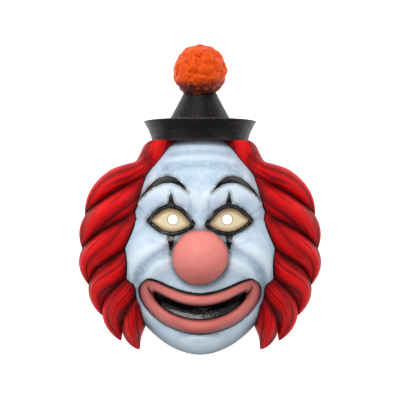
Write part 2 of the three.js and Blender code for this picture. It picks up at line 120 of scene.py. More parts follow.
def away_from_line(x: Array, y: Array, line: Array) -> Array:
    """The distance from each place to a line of short straight stretches.

    Args:
        x: the places' x.
        y: the places' y.
        line: the line's points.

    Returns:
        A distance for each place.
    """
    nearest = np.full(np.shape(x), np.inf)
    for a, b in zip(line[:-1], line[1:]):
        along = b - a
        square = max(float(along @ along), 1e-9)
        share = np.clip(((x - a[0]) * along[0] + (y - a[1]) * along[1]) / square, 0.0, 1.0)
        nearest = np.minimum(nearest, np.hypot(x - a[0] - share * along[0], y - a[1] - share * along[1]))
    return nearest


def away_from_shape(x: Array, y: Array, corners: Array) -> Array:
    """The distance from each place to a closed shape's edge, negative inside it.

    Args:
        x: the places' x.
        y: the places' y.
        corners: the shape's corners, in order.

    Returns:
        A distance for each place.
    """
    ring = np.vstack([corners, corners[:1]])
    inside = np.zeros(np.shape(x), bool)
    for a, b in zip(ring[:-1], ring[1:]):
        crosses = (a[1] > y) != (b[1] > y)
        with np.errstate(divide="ignore", invalid="ignore"):
            reach = a[0] + (y - a[1]) * (b[0] - a[0]) / (b[1] - a[1])
        inside ^= crosses & (x < reach)
    return away_from_line(x, y, ring) * np.where(inside, -1.0, 1.0)


@dataclass(frozen=True)
class Bump:
    """A soft bump or dent of the face, in shares of its half width, half height and depth."""

    x: float
    y: float
    spread_x: float
    spread_y: float
    rise: float


@dataclass(frozen=True)
class Crease:
    """A ridge or furrow along a bent line, in shares of the half width and half height.

    The spread is a share of the half width, and the rise a share of the depth.
    """

    start: Pair
    bend: Pair
    end: Pair
    spread: float
    rise: float


@dataclass
class Mouth:
    """The bent opening of the mouth and the band of the lips round it."""

    drop: float = 74.0
    bend: float = 80.0
    half_width: float = 56.0
    upper: float = 4.0
    lower: float = 11.0
    depth: float = 8.0
    power: float = 2.5
    lip_side: float = 17.0
    lip_upper: float = 14.0
    lip_lower: float = 17.0
    lip_edge: float = 1.0
    lip_rise: float = 6.5

    def dent(self, x: Array, y: Array) -> Array:
        """How deep the dent behind the opening is at each place.

        Args:
            x: the places' x.
            y: the places' y.

        Returns:
            A depth for each place.
        """
        below = self.bend - self.drop - y
        along = self.bend * np.arctan2(x, below)
        above = self.bend - np.hypot(x, below)
        across = (above - (self.upper - self.lower) / 2) / ((self.upper + self.lower) / 2)
        return self.depth * np.exp(-across * across - (along / (0.9 * self.half_width)) ** 6)

    def edge(self, outer: bool, turn: Array) -> Array:
        """The inner or outer edge of the lips.

        Args:
            outer: whether it is the edge that meets the face.
            turn: the turns round the mouth, in radians.

        Returns:
            A point for each turn.
        """
        half = self.half_width + (self.lip_side if outer else 0.0)
        up = self.upper + (self.lip_upper if outer else 0.0)
        down = self.lower + (self.lip_lower if outer else 0.0)
        cosine, sine = np.cos(turn), np.sin(turn)
        along = half * np.sign(cosine) * np.abs(cosine) ** (2 / self.power) / self.bend
        rise = np.sign(sine) * np.abs(sine) ** (2 / self.power)
        radius = self.bend - np.where(rise > 0, up, down) * rise
        return np.stack([radius * np.sin(along), self.bend - self.drop - radius * np.cos(along)], axis=-1)


@dataclass
class FaceForm:
    """The front surface of the face: a dome over an oval, with its features raised on it."""

    half_width: float = 95.0
    top: float = 130.0
    chin: float = 135.5
    depth: float = 72.0
    dome_power: float = 2.3
    fade_start: float = 0.72
    mouth: Mouth = field(default_factory=Mouth)
    fullness: tuple[Pair, ...] = (
        (-90, 0.92), (-60, 1.0), (-30, 1.04), (0, 1.0), (30, 0.95), (60, 0.95), (90, 0.95),
    )
    bumps: tuple[Bump, ...] = (
        Bump(0.4, 0.42, 0.36, 0.13, 0.08),  # brow
        Bump(0.0, 0.32, 0.22, 0.12, 0.04),  # between the brows
        Bump(0.35, 0.205, 0.27, 0.14, -0.17),  # eye socket
        Bump(0.335, 0.205, 0.16, 0.085, 0.11),  # eyeball
        Bump(0.0, 0.1, 0.14, 0.18, 0.08),  # bridge of the nose
        Bump(0.6, -0.14, 0.27, 0.17, 0.19),  # cheek
        Bump(0.0, -0.5, 0.46, 0.27, 0.13),  # muzzle
        Bump(0.7, -0.6, 0.18, 0.22, -0.07),  # hollow of the jaw
        Bump(0.0, -0.84, 0.27, 0.12, 0.19),  # chin
        Bump(0.82, 0.36, 0.16, 0.26, -0.07),  # temple
    )
    creases: tuple[Crease, ...] = (
        Crease((0.14, 0.42), (0.4, 0.66), (0.74, 0.36), 0.09, 0.05),  # brow arch
        Crease((0.1, 0.17), (0.33, 0.44), (0.6, 0.2), 0.035, 0.045),  # upper lid
        Crease((0.1, 0.17), (0.36, 0.02), (0.6, 0.2), 0.035, 0.035),  # lower lid
        Crease((0.3, -0.04), (0.86, -0.16), (0.8, -0.56), 0.07, -0.09),  # smile fold
        Crease((-0.45, 0.66), (0.0, 0.72), (0.45, 0.66), 0.04, -0.03),  # low furrow
        Crease((-0.36, 0.78), (0.0, 0.84), (0.36, 0.78), 0.04, -0.025),  # high furrow
    )
    fine_creases: tuple[Crease, ...] = (
        Crease((0.64, 0.24), (0.72, 0.28), (0.8, 0.34), 0.014, -0.014),  # beside the eye, upper
        Crease((0.65, 0.2), (0.74, 0.2), (0.83, 0.22), 0.014, -0.016),  # beside the eye, middle
        Crease((0.63, 0.15), (0.72, 0.11), (0.8, 0.08), 0.014, -0.014),  # beside the eye, lower
        Crease((0.14, 0.06), (0.36, -0.08), (0.6, 0.04), 0.02, -0.018),  # under the eye
        Crease((0.12, 0.28), (0.1, 0.36), (0.15, 0.42), 0.018, -0.02),  # between the brows
        Crease((-0.2, -0.79), (0.0, -0.765), (0.2, -0.79), 0.03, -0.028),  # above the chin
        Crease((0.86, -0.3), (0.92, -0.42), (0.84, -0.56), 0.018, -0.016),  # behind the smile
        Crease((-0.28, 0.9), (0.0, 0.94), (0.28, 0.9), 0.02, -0.014),  # highest furrow
        Crease((0.28, 0.56), (0.52, 0.66), (0.72, 0.54), 0.018, -0.014),  # over the brow
    )
    lid_step: float = 2.4
    eye_corners: tuple[Pair, ...] = ((0.1, 0.17), (0.33, 0.44), (0.6, 0.2), (0.36, 0.02))

    @property
    def half_height(self) -> float:
        """Half the way from the chin to the top."""
        return (self.top + self.chin) / 2

    def place(self, share: Pair) -> Pair:
        """A place on the face from shares of its half width and half height."""
        return share[0] * self.half_width, share[1] * self.half_height

    def line(self, crease: Crease) -> Array:
        """The points along a crease."""
        return bezier([self.place(crease.start), self.place(crease.bend), self.place(crease.end)], 14)

    def outline(self, turn: Array) -> tuple[Array, Array]:
        """The point of the face's back edge at each turn round its middle.

        Args:
            turn: the turns, in radians.

        Returns:
            The points' x and their y.
        """
        sine = np.sin(turn)
        degrees = np.degrees(np.arcsin(np.clip(sine, -1.0, 1.0)))
        knots = np.array([row[0] for row in self.fullness], float)
        values = np.array([row[1] for row in self.fullness], float)
        last = len(knots) - 1
        index = np.clip(np.searchsorted(knots, degrees, side="right") - 1, 0, last - 1)
        share = (degrees - knots[index]) / (knots[index + 1] - knots[index])
        a, b, c, d = (values[np.clip(index + step, 0, last)] for step in (-1, 0, 1, 2))
        curve = 2 * a - 5 * b + 4 * c - d + share * (3 * (b - c) + d - a)
        full = b + 0.5 * share * (c - a + share * curve)
        return self.half_width * full * np.cos(turn), np.where(sine > 0, self.top, self.chin) * sine

    def dome(self, turn: Array, share: Array) -> Array:
        """The plain dome's points at each turn and share of the way from the middle to the edge.

        Args:
            turn: the turns, in radians.
            share: the shares of the way.

        Returns:
            A point for each turn and share.
        """
        edge_x, edge_y = self.outline(turn)
        angle = np.clip(share, 0.0, 1.0) * math.pi / 2
        out = np.sin(angle) ** (2 / self.dome_power)
        rise = np.where(share >= 1.0, 0.0, np.abs(np.cos(angle)) ** (2 / self.dome_power))
        return np.stack([edge_x * out, edge_y * out, self.depth * rise], axis=-1)

    def normal(self, turn: Array, share: Array) -> Array:
        """The plain dome's outward normals.

        Args:
            turn: the turns, in radians.
            share: the shares of the way from the middle to the edge.

        Returns:
            A vector of length 1 for each turn and share.
        """
        step = 1e-3
        near = np.clip(share, step, 1 - step)
        around = self.dome(turn + step, near) - self.dome(turn - step, near)
        outward = self.dome(turn, near + step) - self.dome(turn, near - step)
        normal = np.cross(outward, around)
        normal *= np.where(normal[..., 2:] < 0, -1.0, 1.0)
        normal[..., 2] = np.where(share >= 1.0, 0.0, normal[..., 2])
        return normal / np.linalg.norm(normal, axis=-1, keepdims=True)

    def round_of(self, x: Array, y: Array) -> tuple[Array, Array]:
        """The turn and the share of the way out of each place in plan, more than 1 outside the face.

        Args:
            x: the places' x.
            y: the places' y.

        Returns:
            The turns and the shares.
        """
        up = np.where(y > 0, self.top, self.chin)
        turn = np.arctan2(y / up, x / self.half_width)
        for _ in range(12):
            edge_x, _edge_y = self.outline(turn)
            turn = np.arctan2(y / up, x * np.cos(turn) / np.where(np.abs(edge_x) < 1e-9, 1.0, edge_x))
        edge_x, edge_y = self.outline(turn)
        out = np.hypot(x, y) / np.hypot(edge_x, edge_y)
        share = 2 / math.pi * np.arcsin(np.clip(out, 0.0, 1.0) ** (self.dome_power / 2))
        return turn, np.where(out > 1.0, out, share)

    def eye_shape(self) -> Array:
        """The corners of the opening between the lids."""
        inner, over, outer, under = (self.place(corner) for corner in self.eye_corners)
        return np.vstack([bezier([inner, over, outer], 24)[:-1], bezier([outer, under, inner], 24)[:-1]])

    def relief(self, x: Array, y: Array) -> Array:
        """How far the features raise the dome at each place.

        Args:
            x: the places' x.
            y: the places' y.

        Returns:
            A rise for each place.
        """
        folded = np.abs(x)
        rise = -self.mouth.dent(x, y)
        for bump in self.bumps:
            for side in (1,) if bump.x == 0 else (1, -1):
                across = (x - side * bump.x * self.half_width) / (bump.spread_x * self.half_width)
                up = (y - bump.y * self.half_height) / (bump.spread_y * self.half_height)
                rise = rise + bump.rise * self.depth * np.exp(-across * across - up * up)
        for crease in self.creases + self.fine_creases:
            away = away_from_line(x if crease.start[0] < 0 else folded, y, self.line(crease))
            away = away / (crease.spread * self.half_width)
            rise = rise + crease.rise * self.depth * np.exp(-away * away)
        inside_lids = away_from_shape(folded, y, self.eye_shape())
        return rise - self.lid_step * smoothstep(1.2, -1.6, inside_lids)

    def front(self, turn: Array, share: Array) -> Array:
        """The front surface's points, whose features fade out towards the flat back edge.

        Args:
            turn: the turns, in radians.
            share: the shares of the way from the middle to the edge.

        Returns:
            A point for each turn and share.
        """
        points = self.dome(turn, share)
        fade = 1.0 - smoothstep(self.fade_start, 1.0, share)
        points[..., 2] += self.relief(points[..., 0], points[..., 1]) * fade
        return points

    def height(self, x: Array, y: Array) -> Array:
        """The front surface's height at each place in plan, and 0 outside the face.

        Args:
            x: the places' x.
            y: the places' y.

        Returns:
            A height for each place.
        """
        x, y = np.asarray(x, float), np.asarray(y, float)
        turn, share = self.round_of(x, y)
        return np.where(share >= 1.0, 0.0, self.front(turn, np.minimum(share, 1.0))[..., 2])

    def grid(self, cells: int) -> tuple[Array, Array]:
        """The turns and shares of a square grid that covers the oval.

        Args:
            cells: how many cells the grid has each way.

        Returns:
            The turns and the shares, as two square arrays.
        """
        steps = np.linspace(-1.0, 1.0, cells + 1)
        u, v = np.meshgrid(steps, steps)
        share = np.maximum(np.abs(u), np.abs(v))
        safe = np.where(share == 0, 1.0, share)
        sideways = np.abs(u) > np.abs(v)
        quarter = math.pi / 4
        flat = quarter * v / np.where(sideways, u, safe) + np.where(u < 0, math.pi, 0.0)
        steep = 2 * quarter - quarter * u / np.where(sideways | (v == 0), safe, v)
        steep += np.where(v < 0, math.pi, 0.0)
        return np.where(sideways, flat, steep), share


def read(items: object, name: str, width: int = 1, kind: type = np.int32) -> Array:
    """Read a value of every item in one of a mesh's lists.

    Args:
        items: the list, such as the points or the faces.
        name: the value's name.
        width: how many numbers an item's value has.
        kind: the type of the numbers.

    Returns:
        The numbers in one row.
    """
    values = np.empty(width * len(items), kind)
    items.foreach_get(name, values)
    return values


def grid_faces(rows: int, columns: int, closed: bool = True) -> list[tuple[int, int, int, int]]:
    """The faces of a grid of points whose rows are rings.

    Args:
        rows: how many rings there are.
        columns: how many points a ring has.
        closed: whether the last ring meets the first.

    Returns:
        The four points of each face.
    """
    corners = ((0, 0), (0, 1), (1, 1), (1, 0))
    return [tuple((i + down) % rows * columns + (j + right) % columns for down, right in corners)
            for i in range(rows if closed else rows - 1) for j in range(columns)]


class Bench:
    """Makes meshes from points in millimetres, and joins, cuts and finishes them."""

    def __init__(self, shift: float, bare: Material) -> None:
        """Keep what every piece needs.

        Args:
            shift: how far up the object's frame the middle of the face lies, in millimetres.
            bare: the finish of the faces that a cut leaves.
        """
        self.shift = shift
        self.bare = bare

    def make(self, name: str, points: Array, faces: list, marks: dict[str, Array] | None = None) -> Object:
        """Make a mesh object.

        Args:
            name: the object's name.
            points: its points in the face's frame, in millimetres.
            faces: its faces, as tuples of point numbers.
            marks: a value at each point for each named attribute.

        Returns:
            The new object, linked to the scene.
        """
        placed = (np.asarray(points, float) + (0.0, self.shift, 0.0)) * MM
        mesh = bpy.data.meshes.new(name)
        mesh.from_pydata(placed.tolist(), [], faces)
        mesh.update()
        made = bpy.data.objects.new(name, mesh)
        bpy.context.scene.collection.objects.link(made)
        self.mark(made, marks or {})
        return made

    def mark(self, piece: Object, marks: dict[str, Array]) -> None:
        """Give each point of a mesh, or each corner of its faces, the values that its paint follows.

        Args:
            piece: the mesh.
            marks: the values in order, under each mark's name.
        """
        for name, values in marks.items():
            where = "POINT" if len(values) == len(piece.data.vertices) else "CORNER"
            layer = piece.data.attributes.new(name, "FLOAT", where)
            layer.data.foreach_set("value", np.ascontiguousarray(values, np.float32).ravel())

    def corners(self, piece: Object) -> tuple[Array, Array]:
        """The point at each corner of a mesh's faces, and the slot of that face's finish.

        Args:
            piece: the mesh.

        Returns:
            A point and a slot for each corner.
        """
        polygons = piece.data.polygons
        slots = np.repeat(read(polygons, "material_index"), read(polygons, "loop_total"))
        return read(piece.data.loops, "vertex_index"), slots

    def sunk(self, piece: Object, values: Array, rounds: int) -> Array:
        """How far each point lies below its surroundings, by the even spread of a value along its edges.

        Args:
            piece: the mesh.
            values: a value for each point.
            rounds: how far the value spreads, in steps along the edges.

        Returns:
            A difference for each point.
        """
        edges = read(piece.data.edges, "vertices", 2)
        a, b = edges[::2], edges[1::2]
        count = np.bincount(edges, minlength=len(values))
        spread = values.astype(float)
        for _ in range(rounds):
            total = np.bincount(a, spread[b], len(values)) + np.bincount(b, spread[a], len(values))
            spread = (spread + total / np.maximum(count, 1)) / 2
        return spread - values

    def evened(self, piece: Object, at: Array, values: Array, rounds: int) -> Array:
        """Values at the corners of a mesh's faces, each spread evenly over the points round it.

        Args:
            piece: the mesh.
            at: the point at each corner.
            values: the value at each corner.
            rounds: how far the values spread, in steps along the edges.

        Returns:
            A value for each corner.
        """
        count = len(piece.data.vertices)
        mean = np.bincount(at, values, count) / np.maximum(np.bincount(at, minlength=count), 1)
        return (mean + self.sunk(piece, mean, rounds))[at]

    def points(self, piece: Object) -> Array:
        """A mesh's points in the face's frame, in millimetres."""
        flat = read(piece.data.vertices, "co", 3, np.float32)
        return flat.reshape(-1, 3).astype(float) / MM - (0.0, self.shift, 0.0)

    def move(self, piece: Object, points: Array) -> None:
        """Put a mesh's points at new places, in millimetres.

        Args:
            piece: the mesh.
            points: a place for each point.
        """
        placed = (points + (0.0, self.shift, 0.0)) * MM
        piece.data.vertices.foreach_set("co", placed.astype(np.float32).ravel())
        piece.data.update()

    def weld(self, piece: Object) -> Object:
        """Merge the points of a mesh that lie at one place, and turn its faces outwards.

        Args:
            piece: the mesh.

        Returns:
            The same piece.
        """
        work = bmesh.new()
        work.from_mesh(piece.data)
        bmesh.ops.remove_doubles(work, verts=work.verts, dist=WELD * MM)
        bmesh.ops.recalc_face_normals(work, faces=work.faces)
        work.to_mesh(piece.data)
        work.free()
        return piece

    def bake(self, piece: Object) -> Object:
        """Turn a piece and its modifiers into a plain mesh.

        Args:
            piece: the piece.

        Returns:
            The same piece.
        """
        graph = bpy.context.evaluated_depsgraph_get()
        mesh = bpy.data.meshes.new_from_object(piece.evaluated_get(graph), preserve_all_data_layers=True,
                                               depsgraph=graph)
        mesh.name = piece.name
        piece.modifiers.clear()
        piece.data = mesh
        return piece

    def carve(self, piece: Object, steps: Iterable[tuple[Join, Object]]) -> Object:
        """Join closed meshes to a piece or cut them from it, in order.

        Args:
            piece: the closed mesh that is changed.
            steps: how each tool changes it, and the tool.

        Returns:
            The piece as a plain mesh.
        """
        tools = []
        for how, tool in steps:
            modifier = piece.modifiers.new(tool.name, "BOOLEAN")
            modifier.operation = how.value
            modifier.solver = "MANIFOLD"
            modifier.material_mode = "TRANSFER"
            modifier.object = tool
            if not tool.data.materials:
                tool.data.materials.append(self.bare)
            tools.append(tool)
        self.bake(piece)
        for tool in set(tools):
            tool.hide_render = True
            tool.hide_viewport = True
        return piece

    def box(self, name: str, low: Triple, high: Triple) -> Object:
        """A box for cutting, between two corners.

        Args:
            name: the object's name.
            low: the lowest corner.
            high: the highest corner.

        Returns:
            A closed mesh.
        """
        corners = [(x, y, z) for x in (low[0], high[0]) for y in (low[1], high[1]) for z in (low[2], high[2])]
        faces = [(0, 1, 3, 2), (4, 6, 7, 5), (0, 4, 5, 1), (2, 3, 7, 6), (0, 2, 6, 4), (1, 5, 7, 3)]
        return self.weld(self.make(name, np.array(corners), faces))

    def behind(self) -> Object:
        """All that lies behind the flat back edge, for cutting."""
        return self.box("behind", (-ROOM, -ROOM, -ROOM), (ROOM, ROOM, 0.0))

    def grown(self, name: str, rule: "Rule", values: dict[str, object]) -> Object:
        """Make a piece by a Geometry Nodes rule.

        Args:
            name: the object's name.
            rule: the rule that shapes it.
            values: what goes into each of the rule's named inputs.

        Returns:
            A closed plain mesh.
        """
        piece = self.make(name, np.zeros((1, 3)), [])
        modifier = piece.modifiers.new("rule", "NODES")
        modifier.node_group = rule.tree
        for key, value in values.items():
            modifier[rule.sockets[key]] = value
        return self.weld(self.bake(piece))

    def discard(self, tools: Iterable[Object]) -> None:
        """Remove cutting tools that are done with.

        Args:
            tools: the meshes that cut.
        """
        for tool in tools:
            mesh = tool.data
            bpy.data.objects.remove(tool)
            if mesh.users == 0:
                bpy.data.meshes.remove(mesh)

    def settle(self, piece: Object, node: str, slot: str, finishes: list[Material]) -> None:
        """Let a finished piece ride on the object in the place of a CAD node.

        Args:
            piece: the finished mesh.
            node: the CAD node that it stands for.
            slot: the record's material slot; not used.
            finishes: its materials, in the order of its faces' numbers.
        """
        slots = read(piece.data.polygons, "material_index")
        bare = np.array([finish == self.bare for finish in piece.data.materials] or [False])[slots]
        piece.data.materials.clear()
        for finish in finishes:
            piece.data.materials.append(finish)
        piece.data.polygons.foreach_set("material_index", (bare & (self.bare in finishes)).astype(np.int32))
        piece.data.shade_smooth()
        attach(piece, "root")
        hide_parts(node)
        LOG.info("%s: %d points, %d faces", piece.name, len(piece.data.vertices), len(piece.data.polygons))


def shell_faces(keep: Array) -> tuple[list, list, list]:
    """The faces of a wall between two grids of one size, the second grid's points after the first's.

    Args:
        keep: which cells of the grid there are.

    Returns:
        The front faces, the back faces, and the faces that close every border.
    """
    rows, columns = keep.shape
    count = (rows + 1) * (columns + 1)
    i, j = np.nonzero(keep)
    a = i * (columns + 1) + j
    front = np.stack([a, a + 1, a + columns + 2, a + columns + 1], axis=1)
    padded = np.pad(keep, 1)
    borders = []
    for step, (p, q) in {(-1, 0): (0, 1), (0, 1): (1, 2), (1, 0): (2, 3), (0, -1): (3, 0)}.items():
        open_side = ~padded[i + 1 + step[0], j + 1 + step[1]]
        start, end = front[open_side, p], front[open_side, q]
        borders.append(np.stack([end, start, start + count, end + count], axis=1))
    back = front[:, ::-1] + count
    return front.tolist(), back.tolist(), np.vstack(borders).tolist()


def add(tree: NodeTree, kind: str, links: dict | None = None, **settings: object) -> Node:
    """Add a node to a tree.

    Args:
        tree: the tree that the node goes into.
        kind: Blender's name for the node.
        links: what goes into each input, by name or number: a value, a socket, or a node's first output.
        settings: the node's own settings.

    Returns:
        The new node.
    """
    node = tree.nodes.new(kind)
    for name, value in settings.items():
        setattr(node, name, value)
    for name, value in (links or {}).items():
        if isinstance(value, Node):
            value = next(socket for socket in value.outputs if socket.enabled)
        if isinstance(value, NodeSocket):
            tree.links.new(value, node.inputs[name])
        else:
            node.inputs[name].default_value = value
    return node


def linear(colour: str) -> tuple[float, float, float, float]:
    """A hex sRGB colour as the linear colour that Blender's nodes take."""
    shares = (int(colour[i:i + 2], 16) / 255 for i in (1, 3, 5))
    return (*(s / 12.92 if s <= 0.04045 else ((s + 0.055) / 1.055) ** 2.4 for s in shares), 1.0)


class Paint:
    """Paint laid over a piece in layers, in the nodes of one material."""

    def __init__(self, name: str, colour: str, roughness: float, shine: float = 0.4) -> None:
        """Start with one colour.

        Args:
            name: the material's name.
            colour: the undercoat.
            roughness: how dull the undercoat is.
            shine: how strongly the paint itself reflects.
        """
        self.material = bpy.data.materials.new(name)
        self.material.use_nodes = True
        self.tree = self.material.node_tree
        self.shader = self.tree.nodes["Principled BSDF"]
        self.shader.inputs["IOR"].default_value = PAINT_IOR
        self.shader.inputs["Specular IOR Level"].default_value = shine
        self.place = add(self.tree, "ShaderNodeTexCoord").outputs["Object"]
        self.colour: object = linear(colour)
        self.roughness: object = roughness
        self.relief: object = 0.0

    def mark(self, name: str) -> NodeSocket:
        """The value that a mesh carries under a name."""
        return add(self.tree, "ShaderNodeAttribute", attribute_name=name).outputs["Fac"]

    def along(self, *names: str) -> NodeSocket:
        """A place that follows a piece's own run, from up to three of its marks in millimetres.

        Args:
            names: the marks.

        Returns:
            The place, in metres.
        """
        parts = {i: self.mark(name) for i, name in enumerate(names)}
        spread = add(self.tree, "ShaderNodeCombineXYZ", parts)
        return add(self.tree, VECTOR_MATH, {0: spread, 3: MM}, operation="SCALE").outputs[0]

    def patches(self, size: float, cover: Pair, stretch: Triple = (1, 1, 1),
                place: NodeSocket | None = None, detail: float = 3.0) -> Node:
        """Soft uneven patches.

        Args:
            size: the size of a patch in millimetres.
            cover: the noise values between which a patch begins.
            stretch: how much finer the patches are along each axis.
            place: where the pattern is read, or the object's own place.
            detail: how many finer sizes are added.

        Returns:
            A node that gives 0 between patches and 1 on them.
        """
        scaled = add(self.tree, "ShaderNodeMapping", {"Vector": place or self.place, "Scale": stretch})
        noise = add(self.tree, "ShaderNodeTexNoise",
                    {"Vector": scaled, "Scale": 1 / (size * MM), "Detail": detail})
        return add(self.tree, "ShaderNodeMapRange", {0: noise, 1: cover[0], 2: cover[1]},
                   interpolation_type="SMOOTHSTEP")

    def inside(self, name: str, edge: float, soft: float, wobble: float = 0.0, size: float = 5.0) -> Node:
        """The part of a piece where a marked distance is below an edge.

        Args:
            name: the mark, in millimetres.
            edge: the distance at which the part ends.
            soft: how many millimetres the end takes.
            wobble: how far the hand strayed, in millimetres.
            size: the length of one stray.

        Returns:
            A node that gives 1 in the part and 0 outside it.
        """
        value = self.mark(name)
        if wobble:
            noise = add(self.tree, "ShaderNodeTexNoise", {"Vector": self.place, "Scale": 1 / (size * MM)})
            stray = add(self.tree, MATH, {0: noise, 1: 0.5}, operation="SUBTRACT")
            value = add(self.tree, MATH, {0: stray, 1: 4 * wobble, 2: value}, operation="MULTIPLY_ADD")
        return add(self.tree, "ShaderNodeMapRange", {0: value, 1: edge + soft / 2, 2: edge - soft / 2},
                   interpolation_type="SMOOTHSTEP")

    def lay(self, colour: str, mask: object, *thinners: object, roughness: float | None = None) -> None:
        """Lay a colour over the paint where a mask is.

        Args:
            colour: the colour that is laid.
            mask: where it lies.
            thinners: other masks and shares that thin it.
            roughness: how dull the new colour is, if not as dull as what it covers.
        """
        for thinner in thinners:
            mask = add(self.tree, MATH, {0: mask, 1: thinner}, operation="MULTIPLY")
        self.colour = add(self.tree, "ShaderNodeMix", {0: mask, 6: self.colour, 7: linear(colour)},
                          data_type="RGBA")
        if roughness is not None:
            self.roughness = add(self.tree, "ShaderNodeMix", {0: mask, 2: self.roughness, 3: roughness},
                                 data_type="FLOAT")

    def stand(self, mask: object, height: float) -> None:
        """Let the surface stand proud by a height in millimetres where a mask is."""
        self.relief = add(self.tree, MATH, {0: mask, 1: height, 2: self.relief}, operation="MULTIPLY_ADD")

    def dry(self) -> Material:
        """Join the layers to the shader and give the finished material.

        Returns:
            The material.
        """
        if isinstance(self.colour, Node):
            self.tree.links.new(self.colour.outputs[2], self.shader.inputs["Base Color"])
        else:
            self.shader.inputs["Base Color"].default_value = self.colour
        if isinstance(self.roughness, Node):
            self.tree.links.new(self.roughness.outputs[0], self.shader.inputs["Roughness"])
        else:
            self.shader.inputs["Roughness"].default_value = self.roughness
        bump = add(self.tree, "ShaderNodeBump", {"Height": self.relief, "Distance": MM, "Strength": 1.0})
        self.tree.links.new(bump.outputs[0], self.shader.inputs["Normal"])
        return self.material


@dataclass(frozen=True)
class PaleFacePaint:
    """Matt pale blue paint, brushed thin, with an airbrushed wash and painted shade in the furrows, painted
    shade at the sides, painted highlights on the crowns, and the glossy black round the eyes.
    """

    base: str = "#CADFEF"
    light: str = "#E0EDF7"
    cloud: str = "#B4CDE0"
    airbrush_and_shade: str = "#6F8CA3"
    rim: str = "#35505F"
    halo: str = "#57524F"
    black: str = "#0A090A"
    scuff_and_glint: str = "#857A86"
    cream: str = "#EBDCB6"
    tan: str = "#A07E4E"
    speck: str = "#D79AA0"

    def material(self) -> Material:
        """Mix the paint.

        Returns:
            The finished material.
        """
        # Formed PVC under thin matt acrylic: soft even light, with brush strokes, painted shade and painted
        # highlights in it
        paint = Paint("painted_plastic_pale_blue", self.base, 0.52)
        strokes = paint.patches(4.0, (0.4, 0.72), (3.0, 1.0, 1.0))  # brush strokes a few millimetres wide
        haze = paint.patches(6.0, (0.2, 0.6))
        open_eye = paint.inside("eye", -1.2, 0.5, 0.15)
        paint.lay(self.cloud, paint.patches(22.0, (0.42, 0.66)), 0.55)
        paint.lay(self.light, strokes, 0.45)
        # Painted highlight: lighter on the raised parts of the face
        paint.lay(self.light, paint.mark("crown"), 0.75)
        paint.lay(self.speck, paint.patches(1.9, (0.8, 0.84), detail=0.0))  # a few stray pink specks
        # Painted shade over an airbrushed wash: darker in the furrows, and towards the sides where the face
        # turns from the light
        paint.lay(self.airbrush_and_shade, paint.mark("furrow"), paint.patches(7.0, (0.1, 0.62)), 0.85)
        paint.lay(self.airbrush_and_shade, paint.mark("side"), 0.9)
        # Painted shade: dark teal over the lower sides of the face, darker towards the bottom edge
        paint.lay(self.rim, paint.mark("jaw"), 0.92)
        paint.lay(self.halo, paint.inside("black", 2.2, 5.0), haze, 0.8)
        # Painted shadow round the foot of the raised lips and of the nose
        paint.lay(self.halo, paint.inside("lip", 2.0, 7.0), haze, 0.75)
        paint.lay(self.halo, paint.inside("nose", 3.6, 9.0), 0.8)
        paint.lay(self.black, paint.inside("lip", 1.6, 0.6, 0.3),
                  paint.patches(6.0, (0.18, 0.32), detail=1.0), roughness=0.3)
        paint.lay(self.black, paint.inside("black", 0.0, 0.7, 0.35), roughness=0.2)
        # Worn scuffs and painted glints along the edge of the lids
        paint.lay(self.scuff_and_glint, paint.inside("eye", 0.9, 1.2),
                  paint.patches(2.2, (0.56, 0.62), (1.0, 1.5, 1.0)), 0.75, roughness=0.3)
        paint.lay(self.cream, open_eye, roughness=0.42)
        # Painted shade: tan towards the edges of the sunken eye whites
        paint.lay(self.tan, open_eye, paint.mark("corner"), 0.9)
        paint.lay(self.tan, paint.inside("pupil", 0.9, 1.0), 0.9)
        paint.lay(self.black, paint.inside("mouth", 0.0, 0.8), roughness=0.16)
        # Painted glints and scuffs, speckled over the lower wall of the mouth
        paint.lay(self.scuff_and_glint, paint.inside("floor", 0.0, 5.0),
                  paint.patches(1.5, (0.57, 0.64), (0.7, 1.5, 1.0)), 0.85, roughness=0.3)
        paint.stand(strokes, 0.06)
        paint.stand(paint.patches(9.0, (0.2, 0.8)), 0.35)  # the uneven hand-modelled surface under the paint
        paint.stand(paint.patches(1.2, (0.3, 0.7), (2.5, 1.0, 1.0)), 0.035)
        return paint.dry()


@dataclass(frozen=True)
class SalmonPaint:
    """Satin salmon-pink paint with painted shade in the hollows and underneath, and painted highlights on the
    crowns.
    """

    base: str = "#D56C64"
    light: str = "#F28F86"
    dark: str = "#93393A"
    deep: str = "#4A1D1C"
    black: str = "#120E0E"

    def material(self) -> Material:
        """Mix the paint.

        Returns:
            The finished material.
        """
        # Formed PVC under satin acrylic: painted highlights on the crowns and painted shade in the hollows
        paint = Paint("painted_plastic_salmon", self.base, 0.5, 0.35)
        strokes = paint.patches(5.0, (0.4, 0.7), (1.0, 2.6, 1.0))  # brush strokes a few millimetres wide
        # Painted highlight on the crowns of the nose and lips
        paint.lay(self.light, paint.mark("crown"), 0.85)
        paint.lay(self.light, paint.patches(14.0, (0.45, 0.7)), 0.25)
        paint.lay(self.dark, strokes, 0.1)
        # Painted shade on the lower and turned-away sides, and at the lips' edges and corners
        paint.lay(self.dark, paint.mark("shade"), 0.85)
        # Painted shadow at the nose's foot, and painted shade along the lips' edges and smile line
        paint.lay(self.deep, paint.inside("foot", 1.5, 5.0), 0.75)
        paint.lay(self.deep, paint.inside("rim", 2.2, 4.5), 0.55)
        paint.lay(self.black, paint.inside("rim", 0.9, 0.7, 0.4, 6.0), paint.patches(4.0, (0.3, 0.42)),
                  roughness=0.32)
        paint.stand(paint.patches(8.0, (0.2, 0.8)), 0.22)
        paint.stand(paint.patches(1.3, (0.3, 0.7), (1.0, 2.0, 1.0)), 0.03)
        return paint.dry()


